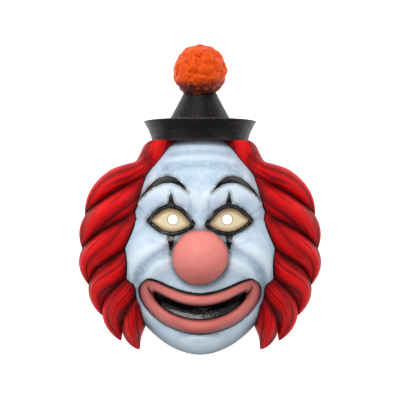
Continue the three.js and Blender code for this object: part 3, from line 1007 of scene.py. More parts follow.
@dataclass(frozen=True)
class RedHairPaint:
    """Deep red satin paint: painted strands with painted highlights on their crowns, washed dark in the
    grooves, with painted shade there too.
    """

    base: str = "#B4070F"
    bright: str = "#E60E15"
    glow: str = "#F02018"
    wash_and_shade: str = "#5A0910"
    deep: str = "#1E0507"
    dust: str = "#7C3B3A"

    def material(self) -> Material:
        """Mix the paint.

        Returns:
            The finished material.
        """
        # Formed PVC under satin acrylic: bright strands with painted highlights, and near-black grooves,
        # partly washed dark and partly painted shade
        paint = Paint("painted_plastic_deep_red", self.base, 0.46, 0.1)
        run = paint.along("run", "round", "lock")
        strands = paint.patches(2.2, (0.36, 0.66), (0.09, 1.0, 6.0), run, 4.0)  # painted hairs 2 mm apart
        hairs = paint.patches(0.9, (0.4, 0.62), (0.05, 1.0, 6.0), run, 2.0)
        # Painted highlight on the crowns of the strands and the tops of the locks
        paint.lay(self.bright, paint.mark("ridge"), 0.9)
        paint.lay(self.bright, strands, 0.55)
        # Painted glints: bright hairs on those crowns
        paint.lay(self.glow, hairs, paint.mark("ridge"), 0.4)
        paint.lay(self.wash_and_shade, paint.patches(3.4, (0.5, 0.68), (0.06, 1.0, 6.0), run, 3.0), 0.75)
        paint.lay(self.dust, paint.patches(1.6, (0.5, 0.68), (0.05, 1.0, 6.0), run, 2.0),
                  paint.mark("root"), 0.6)
        # Washed dark with painted shade in the valleys between the strands
        paint.lay(self.wash_and_shade, paint.mark("dip"), 0.75)
        # Painted shade, near black, in the grooves between and beside the locks and in the hollows, partly
        # washed dark
        paint.lay(self.deep, paint.mark("groove"), 0.95, roughness=0.55)
        # Painted shade at the locks' roots
        paint.lay(self.wash_and_shade, paint.mark("root"), 0.68)
        # Painted shade where the hair meets the face
        paint.lay(self.deep, paint.inside("face_edge", 2.0, 6.0), 0.85)
        paint.stand(strands, 0.28)
        paint.stand(hairs, 0.1)
        return paint.dry()


@dataclass(frozen=True)
class BlackHatPaint:
    """Satin black paint, drybrushed round the hat, with brown worn edges and white specks in the seam."""

    base: str = "#0B090A"
    brushed: str = "#181415"
    worn: str = "#4C372F"
    purple: str = "#2C2430"
    speck: str = "#B9B2AC"

    def material(self) -> Material:
        """Mix the paint.

        Returns:
            The finished material.
        """
        # Formed PVC under satin black acrylic, brushed round and rubbed at its edges: narrow broken glints
        paint = Paint("painted_plastic_satin_black", self.base, 0.42, 0.25)
        wound = paint.along("around", "rise")
        brushing = paint.patches(1.4, (0.42, 0.7), (0.05, 1.0, 1.0), wound, 3.0)  # bristle lines
        ribs = paint.patches(2.0, (0.4, 0.68), (1.0, 0.04, 1.0), wound, 3.0)
        paint.lay(self.brushed, brushing, 0.8, roughness=0.3)
        paint.lay(self.brushed, ribs, 0.5)
        paint.lay(self.purple, paint.patches(7.0, (0.56, 0.68), (0.4, 1.6, 1.0), wound), 0.7, roughness=0.28)
        paint.lay(self.worn, paint.inside("edge", 1.0, 1.4, 0.5), paint.patches(5.0, (0.34, 0.56)), 0.9,
                  roughness=0.5)
        paint.lay(self.speck, paint.inside("seam", 1.5, 9.0),
                  paint.patches(0.9, (0.66, 0.7), detail=1.0), 0.7)
        paint.stand(brushing, 0.05)
        paint.stand(ribs, 0.08)
        paint.stand(paint.patches(6.0, (0.2, 0.8)), 0.15)
        return paint.dry()


@dataclass(frozen=True)
class OrangePaint:
    """Satin orange paint, with painted highlights on the carved ridges, painted shade in the cuts and pits,
    and painted shade beside the hat.
    """

    base: str = "#E34A07"
    bright: str = "#F56410"
    rust_red_and_shade: str = "#A52A07"
    dark: str = "#5A1B0C"
    shade_by_hat: str = "#2E2426"

    def material(self) -> Material:
        """Mix the paint.

        Returns:
            The finished material.
        """
        # Carved PVC under satin acrylic: painted highlights on the rounded ridges, painted shade in the cuts,
        # and a little sheen
        paint = Paint("painted_plastic_orange", self.base, 0.46, 0.12)
        # Painted highlight on the raised facets, and painted shade in the cuts and pits
        paint.lay(self.bright, paint.mark("proud"), 0.8)
        paint.lay(self.rust_red_and_shade, paint.mark("cut"), 0.8)
        paint.lay(self.dark, paint.mark("pit"), 0.3)
        paint.lay(self.rust_red_and_shade, paint.patches(1.5, (0.52, 0.66), (1.0, 2.0, 1.0)), 0.22)
        # Painted shade, darkest at the pompom's foot where it meets the hat
        paint.lay(self.shade_by_hat, paint.inside("hat", 3.0, 9.0, 2.0, 12.0),
                  paint.patches(5.0, (0.2, 0.55), detail=2.0), 0.9, roughness=0.6)
        paint.stand(paint.patches(1.6, (0.3, 0.7)), 0.12)
        return paint.dry()


@dataclass(frozen=True)
class BareInside:
    """The unpainted back of the formed plastic: off white, with faint darker patches."""

    base: str = "#D9D6CE"
    stain: str = "#A9A49B"

    def material(self) -> Material:
        """Mix the surface.

        Returns:
            The finished material.
        """
        # Formed PVC as it leaves the mould: an even, dull off white
        paint = Paint("bare_formed_plastic", self.base, 0.6)
        paint.lay(self.stain, paint.patches(18.0, (0.45, 0.7)), 0.4)
        paint.stand(paint.patches(0.7, (0.3, 0.7)), 0.03)  # the grain that the mould leaves
        return paint.dry()


@dataclass
class Face:
    """The formed face: its sheet, the holes for pupils and the wearer's nose, and its painted features."""

    bench: Bench
    form: FaceForm
    paint: PaleFacePaint = field(default_factory=PaleFacePaint)
    cells: int = 204
    pupil_spacing: float = 62.0
    pupil_height: float = 28.0
    pupil_diameter: float = 11.5
    nose_drop: float = 14.0
    nose_hole: float = 23.0
    nose_foot: float = 30.6
    liner_in: float = 1.2
    liner_out: float = 4.4
    spike_x: float = 33.0
    spike_half: float = 5.5
    spikes: tuple[Pair, ...] = ((0.3, 20.0), (0.1, -25.0))  # foot as a share, and length
    brow_thick: float = 4.2
    brow: tuple[Pair, ...] = ((0.14, 0.44), (0.4, 0.7), (0.74, 0.38))

    def holes(self) -> list[Triple]:
        """The middle and radius of each hole through the sheet.

        Returns:
            The x, y and radius of each.
        """
        half, radius = self.pupil_spacing / 2, self.pupil_diameter / 2
        return [(half, self.pupil_height, radius), (-half, self.pupil_height, radius),
                (0.0, -self.nose_drop, self.nose_hole)]

    def walls(self) -> tuple[Array, Array, Array, Array]:
        """The front and back grids with the holes' edges rounded, the cells kept, and the shares.

        Returns:
            The front, the back, the cells and the shares.
        """
        turn, share = self.form.grid(self.cells)
        front = self.form.front(turn, share)
        back = front - WALL * self.form.normal(turn, share)
        middle = (front[:-1, :-1] + front[1:, 1:] + front[:-1, 1:] + front[1:, :-1]) / 4
        keep = np.ones((self.cells, self.cells), bool)
        for x, y, radius in self.holes():
            gone = np.hypot(middle[..., 0] - x, middle[..., 1] - y) < radius
            corner = np.zeros((self.cells + 1, self.cells + 1), int)
            for rows, columns in ((0, 0), (0, 1), (1, 0), (1, 1)):
                corner[rows:rows + self.cells, columns:columns + self.cells] += gone
            edge = (corner > 0) & (corner < 4)
            for wall in (front, back):
                away = wall[edge, :2] - (x, y)
                wall[edge, :2] = (x, y) + away * radius / np.hypot(away[:, 0], away[:, 1])[:, None]
            keep &= ~gone
        return front, back, keep, share

    def black_parts(self, x: Array, y: Array) -> Array:
        """The distance to the black round the eyes, the spikes and the brows, negative inside them.

        Args:
            x: the places' x.
            y: the places' y.

        Returns:
            A distance for each place.
        """
        folded = np.abs(x)
        lids = away_from_shape(folded, y, self.form.eye_shape())
        liner = np.maximum(lids - self.liner_out, -lids - self.liner_in)
        black = liner
        for foot, length in self.spikes:
            height = foot * self.form.half_height
            tip = np.array([(self.spike_x - self.spike_half, height), (self.spike_x, height + length),
                            (self.spike_x + self.spike_half, height)])
            black = np.minimum(black, away_from_shape(folded, y, tip))
        arch = bezier([self.form.place(corner) for corner in self.brow], 40)
        thick = self.brow_thick * np.sin(np.pi * np.linspace(0, 1, 41)) ** 0.6
        shape = np.vstack([arch + np.stack([0 * thick, thick], axis=1),
                           (arch - np.stack([0 * thick, thick], axis=1))[::-1]])
        return np.minimum(black, away_from_shape(folded, y, shape))

    def softened(self, values: Array, rounds: int) -> Array:
        """A grid of values, each evened out with its neighbours a number of times.

        Args:
            values: the grid.
            rounds: how many times.

        Returns:
            The new grid.
        """
        for _ in range(rounds):
            wide = np.pad(values, 1, mode="edge")
            values = (wide[:-2, 1:-1] + wide[2:, 1:-1] + wide[1:-1, :-2] + wide[1:-1, 2:]) / 4
        return values

    def marks(self, front: Array, share: Array) -> dict[str, Array]:
        """The values at each point of the front that its paint follows.

        Args:
            front: the front's points.
            share: their shares of the way from the middle to the edge.

        Returns:
            A grid of values for each mark.
        """
        form, mouth = self.form, self.form.mouth
        x, y, z = front[..., 0], front[..., 1], front[..., 2]
        soft = self.softened(z, 28)
        dip = np.where(share > 0.9, 0.0, soft - z)
        furrow = self.softened(smoothstep(0.05, 1.0, dip), 12)
        folded = np.abs(x)
        turns = np.linspace(0, 2 * np.pi, 200, endpoint=False)
        lips = away_from_shape(x, y, mouth.edge(True, turns))
        opening = away_from_shape(x, y, mouth.edge(False, turns))
        lids = away_from_shape(folded, y, form.eye_shape())
        pupil = np.hypot(folded - self.pupil_spacing / 2, y - self.pupil_height) - self.pupil_diameter / 2
        # furrow, side and jaw carry painted shade and crown painted highlights; lip and nose also carry
        # painted shadow round those pieces
        return {
            "furrow": furrow, "crown": smoothstep(0.1, 0.8, -dip),
            "side": smoothstep(0.62, 0.97, share),
            "jaw": smoothstep(0.6, 0.92, share) * smoothstep(5, -75, y),
            "black": self.black_parts(x, y), "eye": lids,
            "corner": smoothstep(-7.5, -1.0, lids), "pupil": pupil, "mouth": opening - 3.0,
            "floor": np.hypot(x / 2.2, y + mouth.drop + mouth.lower - 3) - 10, "lip": lips,
            "nose": np.hypot(x, y + self.nose_drop) - self.nose_foot,
        }

    def build(self) -> None:
        """Make the face, painted outside and bare inside."""
        front, back, keep, share = self.walls()
        front_faces, back_faces, borders = shell_faces(keep)
        count = front.shape[0] * front.shape[1]
        used = np.zeros(2 * count, bool)
        faces = front_faces + borders + back_faces
        used[np.unique(np.array(faces))] = True
        number = np.cumsum(used) - 1
        marks = {name: np.tile(value.ravel(), 2)[used] for name, value in self.marks(front, share).items()}
        points = np.vstack([front.reshape(-1, 3), back.reshape(-1, 3)])[used]
        face = self.bench.make("face_painted", points, number[np.array(faces)].tolist(), marks)
        bare = np.zeros(len(faces), np.int32)
        bare[len(front_faces) + len(borders):] = 1
        coat = self.paint.material()
        for finish in (coat, self.bench.bare):
            face.data.materials.append(finish)
        face.data.polygons.foreach_set("material_index", bare)
        self.bench.settle(face, "face", "face", [coat, self.bench.bare])

    def block(self, cells: int = 120) -> Object:
        """What the face fills, grown by the glue gap and carried down behind the back edge, for cutting.

        Args:
            cells: how many cells its grid has each way.

        Returns:
            A closed mesh.
        """
        turn, share = self.form.grid(cells)
        front = self.form.front(turn, share) + GLUE_GAP * self.form.normal(turn, share)
        floor = front.copy()
        floor[..., 2] = BLOCK_FLOOR
        front_faces, back_faces, borders = shell_faces(np.ones((cells, cells), bool))
        points = np.vstack([front.reshape(-1, 3), floor.reshape(-1, 3)])
        return self.bench.weld(self.bench.make("face_block", points, front_faces + back_faces + borders))


@dataclass
class Nose:
    """The big round nose, hollow for the wearer's."""

    bench: Bench
    form: FaceForm
    paint: SalmonPaint
    radius: float = 31.0
    drop: float = 14.0
    stand: float = 5.0
    sag: float = 0.5

    def middle(self) -> Array:
        """The middle of the ball."""
        return np.array([0.0, -self.drop, float(self.form.height(0.0, -self.drop)) + self.stand])

    def ball(self, name: str, radius: float, steps: int) -> Object:
        """A hand-modelled ball, a little uneven, made in rings from its front to its back.

        Args:
            name: the object's name.
            radius: the ball's radius.
            steps: how many rings it has.

        Returns:
            A closed mesh.
        """
        down, around = np.meshgrid(np.linspace(0, np.pi, steps), np.linspace(0, 2 * np.pi, 2 * steps)[:-1],
                                   indexing="ij")
        out = np.sin(down)
        lumps = self.sag * (np.sin(2 * around + 0.6) * out ** 2 + 0.5 * np.cos(3 * around) * out ** 3)
        size = radius + lumps * (radius / self.radius)
        points = self.middle() + np.stack([size * out * np.cos(around), size * out * np.sin(around),
                                           size * np.cos(down)], axis=-1).reshape(-1, 3)
        return self.bench.weld(self.bench.make(name, points, grid_faces(*down.shape, closed=False)))

    def build(self, block: Object, pink: Material) -> None:
        """Make the nose and shade its foot.

        Args:
            block: what the face fills, with the glue gap round it.
            pink: the nose's finish.
        """
        nose = self.ball("nose_painted", self.radius, 110)
        nose.data.materials.append(pink)
        hollow = self.ball("nose_hollow", self.radius - WALL, 60)
        self.bench.carve(nose, [(Join.CUT, hollow), (Join.CUT, block)])
        points = self.bench.points(nose)
        rise = points[:, 2] - self.form.height(points[:, 0], points[:, 1])
        away = points - self.middle()
        up = away / np.linalg.norm(away, axis=1, keepdims=True)
        low, behind = smoothstep(-0.2, -1.0, up[:, 1]), smoothstep(0.45, 0.0, up[:, 2])
        # foot and shade carry painted shade at the foot, underneath and on the flanks; crown a painted
        # highlight where the ball faces the light
        self.bench.mark(nose, {
            "foot": rise, "rim": np.full(len(points), FAR), "shade": low * 0.3 + behind * 0.45,
            "crown": smoothstep(0.25, 1.0, up @ np.array([0.0, 0.35, 0.94])),
        })
        self.bench.settle(nose, "nose", "pink", [pink, self.bench.bare])
        self.bench.discard([hollow])


@dataclass
class Lips:
    """The thick lips round the mouth, glued to the face."""

    bench: Bench
    form: FaceForm
    around: int = 300
    across: int = 30
    smile_run: float = 9.0
    smile_fall: float = 0.03

    def crest(self, turn: Array, share: Array) -> Array:
        """How far the lips stand above their thin edges, with the line of the smile pressed into the corners.

        Args:
            turn: the turns round the mouth, in radians.
            share: the shares of the way across the lips.

        Returns:
            A height for each turn and share.
        """
        mouth = self.form.mouth
        full = mouth.lip_rise * np.sqrt(np.clip(4 * share * (1 - share), 0, 1))
        upper = np.clip(np.sin(turn), 0, 1)
        bow = 1.0 - 0.16 * np.exp(-((np.cos(turn) / 0.16) ** 2)) * upper  # the dip in the upper lip
        pinch = 1.0 - 0.22 * np.exp(-((np.sin(turn) / 0.3) ** 2))
        creases = 0.22 * np.sin(60 * turn) * np.sin(np.pi * share) * (0.4 + 0.6 * np.abs(np.cos(turn)))
        return full * bow * pinch + creases

    def build(self, pink: Material) -> None:
        """Make the lips and shade them.

        Args:
            pink: the lips' finish.
        """
        mouth = self.form.mouth
        turn, share = np.meshgrid(np.linspace(0, 2 * np.pi, self.around, endpoint=False),
                                  (1 - np.cos(np.linspace(0, np.pi, self.across))) / 2, indexing="ij")
        inner, outer = mouth.edge(False, turn), mouth.edge(True, turn)
        plan = inner + (outer - inner) * share[..., None]
        under = self.form.height(plan[..., 0], plan[..., 1]) + GLUE_GAP
        corner = mouth.half_width / mouth.bend
        side = np.arctan2(np.abs(plan[..., 0]), mouth.bend - mouth.drop - plan[..., 1])
        radius = np.hypot(plan[..., 0], mouth.bend - mouth.drop - plan[..., 1])
        middle = mouth.bend - (mouth.upper - mouth.lower) / 2
        past = (side - corner) * mouth.bend
        fall = radius - middle + self.smile_fall * past ** 2
        smile = np.hypot(np.maximum(0, np.maximum(past - self.smile_run, -past)), fall)
        pressed = 1.6 * np.exp(-((smile / 1.5) ** 2))
        top = under + mouth.lip_edge + np.maximum(self.crest(turn, share) - pressed, 0.0)
        front = np.concatenate([plan, top[..., None]], axis=-1)
        back = np.concatenate([plan, under[..., None]], axis=-1)
        loop = np.concatenate([front, back[:, ::-1]], axis=1)
        wide = np.linalg.norm(outer - inner, axis=-1)
        edge = np.minimum(share, 1 - share) * wide
        low = smoothstep(0.15, -0.75, np.sin(turn)) * smoothstep(0.45, 0.95, share)
        # shade carries painted shade on the lower lip, edges and corners, crown a painted highlight, and rim
        # both painted shade and the black outline
        marks = {
            "rim": np.minimum(edge, smile), "foot": np.full_like(edge, FAR),
            "shade": np.clip(0.7 * low + 0.9 * smoothstep(0.34, 0.0, share)
                             + 0.6 * smoothstep(0.74, 1.0, share)
                             + 0.45 * np.abs(np.cos(turn)) ** 3, 0.0, 1.0),
            "crown": np.exp(-(((share - 0.46) / 0.2) ** 2)) * (0.35 + 0.55 * smoothstep(-1, 1, np.sin(turn))),
        }
        marks = {name: np.concatenate([value, value[:, ::-1]], axis=1).ravel()
                 for name, value in marks.items()}
        lips = self.bench.make("lips_painted", loop.reshape(-1, 3), grid_faces(*loop.shape[:2]), marks)
        self.bench.settle(self.bench.weld(lips), "lips", "pink", [pink])


@dataclass(frozen=True)
class Lock:
    """One swept lock of hair, its path in shares of the hair's reach and the face's half height."""

    root: Pair
    out: Pair
    bend: Pair
    tip: Pair
    width: float
    height: float

    def corners(self, reach: float, half_height: float) -> list[Pair]:
        """The control points of the path, in millimetres."""
        return [(x * reach, y * half_height) for x, y in (self.root, self.out, self.bend, self.tip)]


class Rule:
    """A Geometry Nodes tree that shapes one closed piece from named inputs."""

    def __init__(self, name: str, inputs: dict[str, tuple[str, ...]]) -> None:
        """Make a tree that has only its inputs and its output.

        Args:
            name: the tree's name.
            inputs: the names of its inputs, for each kind of socket.
        """
        self.tree = bpy.data.node_groups.new(name, "GeometryNodeTree")
        face = self.tree.interface
        face.new_socket(name="Geometry", in_out="OUTPUT", socket_type="NodeSocketGeometry")
        self.sockets = {key: face.new_socket(name=key, in_out="INPUT", socket_type=kind).identifier
                        for kind, keys in inputs.items() for key in keys}
        self.given = add(self.tree, "NodeGroupInput").outputs

    def close(self, shape: Node, place: Node) -> None:
        """Move the points of a shape to their places and give it its finish.

        Args:
            shape: the shape that the rule starts from.
            place: where each of its points goes.
        """
        shaped = add(self.tree, "GeometryNodeSetPosition", {"Geometry": shape, "Position": place})
        real = add(self.tree, "GeometryNodeRealizeInstances", {0: shaped})
        painted = add(self.tree, "GeometryNodeSetMaterial",
                      {"Geometry": real, "Material": self.given["Finish"]})
        add(self.tree, "NodeGroupOutput", {0: painted})


class LockRule(Rule):
    """The rule for a lock: a tapering half-round bar along a bent path, with strands raised on it."""

    def __init__(self, belly: float, fall: float) -> None:
        """Build the tree.

        Args:
            belly: the share of the length at which a lock is fullest.
            fall: how much lower a lock is at its tip than at its root.
        """
        super().__init__("swept_lock", {
            "NodeSocketVector": ("Root", "Out", "Bend", "Tip"),
            "NodeSocketFloat": ("Half Width", "Height", "Inset", "Start", "End", "Floor", "Strand Rise",
                                "Strand Count", "Sway"),
            "NodeSocketInt": ("Steps Along", "Steps Round"),
            "NodeSocketMaterial": ("Finish",),
        })
        self.belly, self.fall = belly, fall
        self.wire()

    def path(self, along: Node) -> tuple[Node, Node]:
        """The place on the bent path and the direction across it, at a share of its length.

        Args:
            along: the share of the length.

        Returns:
            The place and the direction.
        """
        def between(a: object, b: object) -> Node:
            """The place between two places, at the same share of the way."""
            return add(self.tree, "ShaderNodeMix", {0: along, 4: a, 5: b}, data_type="VECTOR")

        corners = [self.given[name] for name in ("Root", "Out", "Bend", "Tip")]
        first = [between(corners[i], corners[i + 1]) for i in range(3)]
        second = [between(first[i], first[i + 1]) for i in range(2)]
        place = between(second[0], second[1])
        heading = add(self.tree, VECTOR_MATH, {0: second[1], 1: second[0]}, operation="SUBTRACT")
        across = add(self.tree, VECTOR_MATH, {0: heading, 1: (0, 0, 1)}, operation="CROSS_PRODUCT")
        return place, add(self.tree, VECTOR_MATH, {0: across}, operation="NORMALIZE")

    def closing(self, along: Node) -> Node:
        """How much of its full size the lock has at a share of its length.

        Args:
            along: the share of the length.

        Returns:
            The share of the size.
        """
        swell = add(self.tree, MATH, {0: along, 1: self.belly}, operation="DIVIDE", use_clamp=True)
        short = add(self.tree, MATH, {0: 1.0, 1: swell}, operation="SUBTRACT")
        square = add(self.tree, MATH, {0: short, 1: 2.0}, operation="POWER")
        rest = add(self.tree, MATH, {0: 1.0, 1: square}, operation="SUBTRACT", use_clamp=True)
        grown = add(self.tree, MATH, {0: rest}, operation="SQRT")
        past = add(self.tree, MATH, {0: along, 1: self.belly}, operation="SUBTRACT")
        share = add(self.tree, MATH, {0: past, 1: 1 - self.belly}, operation="DIVIDE", use_clamp=True)
        power = add(self.tree, MATH, {0: share, 1: TIP_POWER}, operation="POWER")
        left = add(self.tree, MATH, {0: 1.0, 1: power}, operation="SUBTRACT", use_clamp=True)
        narrow = add(self.tree, MATH, {0: left, 1: TIP_ROUND}, operation="POWER")
        return add(self.tree, MATH, {0: grown, 1: narrow}, operation="MULTIPLY")

    def strands(self, along: Node, turn: Node) -> Node:
        """How proud the strands stand, from 0 to about 1, as they sway along the lock.

        Args:
            along: the share of the length.
            turn: the turn round the lock.

        Returns:
            The height.
        """
        run = add(self.tree, MATH, {0: along, 1: SWAY_RATE, 2: self.given["Sway"]},
                  operation="MULTIPLY_ADD")
        swing = add(self.tree, MATH, {0: run}, operation="SINE")
        wide = add(self.tree, MATH, {0: turn, 1: self.given["Strand Count"]}, operation="MULTIPLY")
        moved = add(self.tree, MATH, {0: swing, 1: SWAY_WIDTH, 2: wide}, operation="MULTIPLY_ADD")
        wave = add(self.tree, MATH, {0: moved}, operation="SINE")
        thick = add(self.tree, MATH, {0: wave}, operation="ABSOLUTE")
        finer = add(self.tree, MATH, {0: moved, 1: 2.7, 2: run}, operation="MULTIPLY_ADD")
        ripple = add(self.tree, MATH, {0: finer}, operation="SINE")
        thin = add(self.tree, MATH, {0: ripple}, operation="ABSOLUTE")
        return add(self.tree, MATH, {0: thin, 1: 0.35, 2: thick}, operation="MULTIPLY_ADD")

    def wire(self) -> None:
        """Put the rule together: a closed tube whose points are moved onto the lock."""
        tree, given = self.tree, self.given
        tube = add(tree, "GeometryNodeMeshCylinder", {
            "Vertices": given["Steps Round"], "Side Segments": given["Steps Along"],
            "Radius": 1.0, "Depth": 1.0}, fill_type="NGON")
        spot = add(tree, "ShaderNodeSeparateXYZ", {0: add(tree, "GeometryNodeInputPosition")})
        turn = add(tree, MATH, {0: spot.outputs[1], 1: spot.outputs[0]}, operation="ARCTAN2")
        phase = add(tree, MATH, {0: spot.outputs[2], 1: math.pi, 2: math.pi / 2}, operation="MULTIPLY_ADD")
        cosine = add(tree, MATH, {0: phase}, operation="COSINE")
        eased = add(tree, MATH, {0: cosine, 1: -0.5, 2: 0.5}, operation="MULTIPLY_ADD")
        along = add(tree, "ShaderNodeMix", {0: eased, 2: given["Start"], 3: given["End"]},
                    data_type="FLOAT")
        place, across = self.path(along)
        closing = self.closing(along)
        up = add(tree, MATH, {0: spot.outputs[1], 1: 0.0}, operation="MAXIMUM")
        proud = add(tree, MATH, {0: self.strands(along, turn), 1: up}, operation="MULTIPLY")
        proud = add(tree, MATH, {0: proud, 1: given["Strand Rise"]}, operation="MULTIPLY")
        proud = add(tree, MATH, {0: proud, 1: closing}, operation="MULTIPLY")
        sink = add(tree, MATH, {0: given["Inset"], 1: -1.0}, operation="MULTIPLY")
        width = add(tree, MATH, {0: given["Half Width"], 1: closing, 2: sink}, operation="MULTIPLY_ADD")
        lower = add(tree, MATH, {0: along, 1: -self.fall, 2: 1.0}, operation="MULTIPLY_ADD")
        tall = add(tree, MATH, {0: given["Height"], 1: lower}, operation="MULTIPLY")
        height = add(tree, MATH, {0: tall, 1: closing, 2: sink}, operation="MULTIPLY_ADD")
        sizes = []
        for size in (width, height):
            whole = add(tree, MATH, {0: size, 1: 0.0}, operation="MAXIMUM")
            sizes.append(add(tree, MATH, {0: whole, 1: proud}, operation="ADD"))
        out = add(tree, MATH, {0: sizes[0], 1: spot.outputs[0]}, operation="MULTIPLY")
        sideways = add(tree, VECTOR_MATH, {0: across, 3: out}, operation="SCALE")
        rise = add(tree, MATH, {0: sizes[1], 1: up}, operation="MULTIPLY")
        below = add(tree, MATH, {0: spot.outputs[1], 1: -1e-4}, operation="LESS_THAN")
        level = add(tree, MATH, {0: below, 1: given["Floor"], 2: rise}, operation="MULTIPLY_ADD")
        lift = add(tree, "ShaderNodeCombineXYZ", {2: level})
        moved = add(tree, VECTOR_MATH, {0: place, 1: sideways}, operation="ADD")
        whole = add(tree, VECTOR_MATH, {0: moved, 1: lift}, operation="ADD")
        self.close(tube, whole)


@dataclass
class Hair:
    """The swept hair on both sides of the face, hollow behind."""

    bench: Bench
    form: FaceForm
    paint: RedHairPaint = field(default_factory=RedHairPaint)
    reach: float = 140.0
    rise: float = 58.0
    half_width: float = 23.0
    belly: float = 0.35
    fall: float = 0.5
    strand_rise: float = 1.7
    hat_foot: float = 120.0
    path_steps: int = 159
    shoulder: Pair = (57.0, 80.0)
    shoulder_foot: float = 84.0
    shoulder_drop: float = 15.0
    locks: tuple[Lock, ...] = (
        Lock((0.22, 1.08), (0.46, 0.76), (0.46, 0.44), (0.84, 0.32), 0.9, 0.8),
        Lock((0.34, 0.94), (0.5, 0.44), (0.88, 0.64), (0.98, 0.18), 0.88, 0.86),
        Lock((0.4, 0.7), (0.6, 0.1), (1.02, 0.34), (0.97, -0.14), 1.0, 0.92),
        Lock((0.44, 0.46), (0.62, -0.2), (1.06, 0.04), (0.93, -0.42), 1.04, 0.9),
        Lock((0.5, 0.2), (0.6, -0.44), (0.98, -0.26), (0.83, -0.68), 1.0, 0.84),
        Lock((0.5, -0.1), (0.6, -0.62), (0.84, -0.56), (0.68, -0.9), 0.92, 0.76),
        Lock((0.5, -0.34), (0.54, -0.7), (0.64, -0.8), (0.52, -0.98), 0.7, 0.62),
    )

    def taper(self, along: Array) -> Array:
        """How much of its full size a lock has along its length.

        Args:
            along: the shares of the length.

        Returns:
            The shares of the size.
        """
        swell = np.clip(along / self.belly, 0, 1)
        narrow = np.clip((along - self.belly) / (1 - self.belly), 0, 1)
        return np.sqrt(1 - (1 - swell) ** 2) * (1 - narrow ** TIP_POWER) ** TIP_ROUND

    def stretch(self, half_width: float, inset: float) -> Pair:
        """The stretch of a lock's length over which its half width is more than an inset.

        Args:
            half_width: the lock's half width.
            inset: the inset.

        Returns:
            The shares of the length at which the stretch starts and ends.
        """
        share = inset / half_width
        narrow = (1 - share ** (1 / TIP_ROUND)) ** (1 / TIP_POWER)
        return self.belly * (1 - math.sqrt(1 - share * share)), self.belly + narrow * (1 - self.belly)

    def strand_count(self, number: int) -> float:
        """How many strands lie over a lock, more on every other one."""
        return 3.4 if number % 2 else 2.6

    def lock(self, rule: LockRule, number: int, inset: float, finish: Material) -> Object:
        """One lock, or the hollow inside it.

        Args:
            rule: the tree that shapes it.
            number: which lock.
            inset: how far inside the outer surface it lies, in millimetres.
            finish: its material.

        Returns:
            A closed mesh.
        """
        row = self.locks[number]
        width = row.width * self.half_width
        start, end = self.stretch(width, inset)
        values: dict[str, object] = {
            "Half Width": width * MM, "Height": row.height * self.rise * MM, "Inset": inset * MM,
            "Start": start, "End": end, "Floor": BLOCK_FLOOR * MM if inset else 0.0,
            "Strand Rise": 0.0 if inset else self.strand_rise * MM,
            "Strand Count": self.strand_count(number), "Sway": SWAY_STEP * number,
            "Steps Along": 40 if inset else 96, "Steps Round": 32 if inset else 80, "Finish": finish,
        }
        corners = row.corners(self.reach, self.form.half_height)
        for name, corner in zip(("Root", "Out", "Bend", "Tip"), corners):
            values[name] = (corner[0] * MM, (corner[1] + self.bench.shift) * MM, 0.0)
        return self.bench.grown(f"lock_{number}_{'hollow' if inset else 'outer'}", rule, values)

    def follow(self, points: Array, number: int) -> dict[str, Array]:
        """Where points lie along and round one lock.

        Args:
            points: places in millimetres.
            number: which lock.

        Returns:
            The run along the lock and round it, how proud its strands are, and how near its crown a point is.
        """
        row = self.locks[number]
        path = bezier(row.corners(self.reach, self.form.half_height), self.path_steps)
        heading = np.gradient(path, axis=0)
        heading /= np.linalg.norm(heading, axis=1, keepdims=True)
        length = np.concatenate([[0], np.cumsum(np.linalg.norm(np.diff(path, axis=0), axis=1))])
        parts = np.array_split(points[:, :2], 24)
        nearest = np.concatenate([
            np.argmin(np.hypot(part[:, :1] - path[:, 0], part[:, 1:2] - path[:, 1]), axis=1)
            for part in parts])
        away = points[:, :2] - path[nearest]
        past = np.sum(away * heading[nearest], axis=1)
        across = away[:, 0] * heading[nearest, 1] - away[:, 1] * heading[nearest, 0]
        along = nearest / self.path_steps
        closing = self.taper(along)
        width = np.maximum(row.width * self.half_width * closing, 0.5)
        q = np.clip(across / (width + 1.2), -1, 1)
        lift = np.sqrt(1 - q * q)
        turn = np.arccos(q)
        count = self.strand_count(number)
        swayed = turn + SWAY_WIDTH * np.sin(SWAY_RATE * along + SWAY_STEP * number) / count
        return {"run": length[nearest] + past, "round": swayed * row.width * self.half_width,
                "ridge": np.abs(np.sin(count * swayed)), "lift": lift}

    def partings(self, piece: Object, at: Array, owner: Array, run: Array) -> Array:
        """How near each point is to a line where two locks meet, fainter beside a root.

        Args:
            piece: the joined hair.
            at: the point at each corner of its faces.
            owner: the lock at each corner.
            run: how far along that lock the corner lies, in millimetres.

        Returns:
            A share for each point.
        """
        count = len(piece.data.vertices)
        low, high, first = np.full(count, 99), np.full(count, -1), np.full(count, 1e3)
        np.minimum.at(low, at, owner)
        np.maximum.at(high, at, owner)
        np.minimum.at(first, at, run)
        line = (low != high) * smoothstep(8, 60, first)
        beside = (low != high).astype(float)
        soft = 0.55 * smoothstep(0.0, 0.22, beside + self.bench.sunk(piece, beside, 40))
        return np.maximum(soft, smoothstep(0.03, 0.3, line + self.bench.sunk(piece, line, 12)))

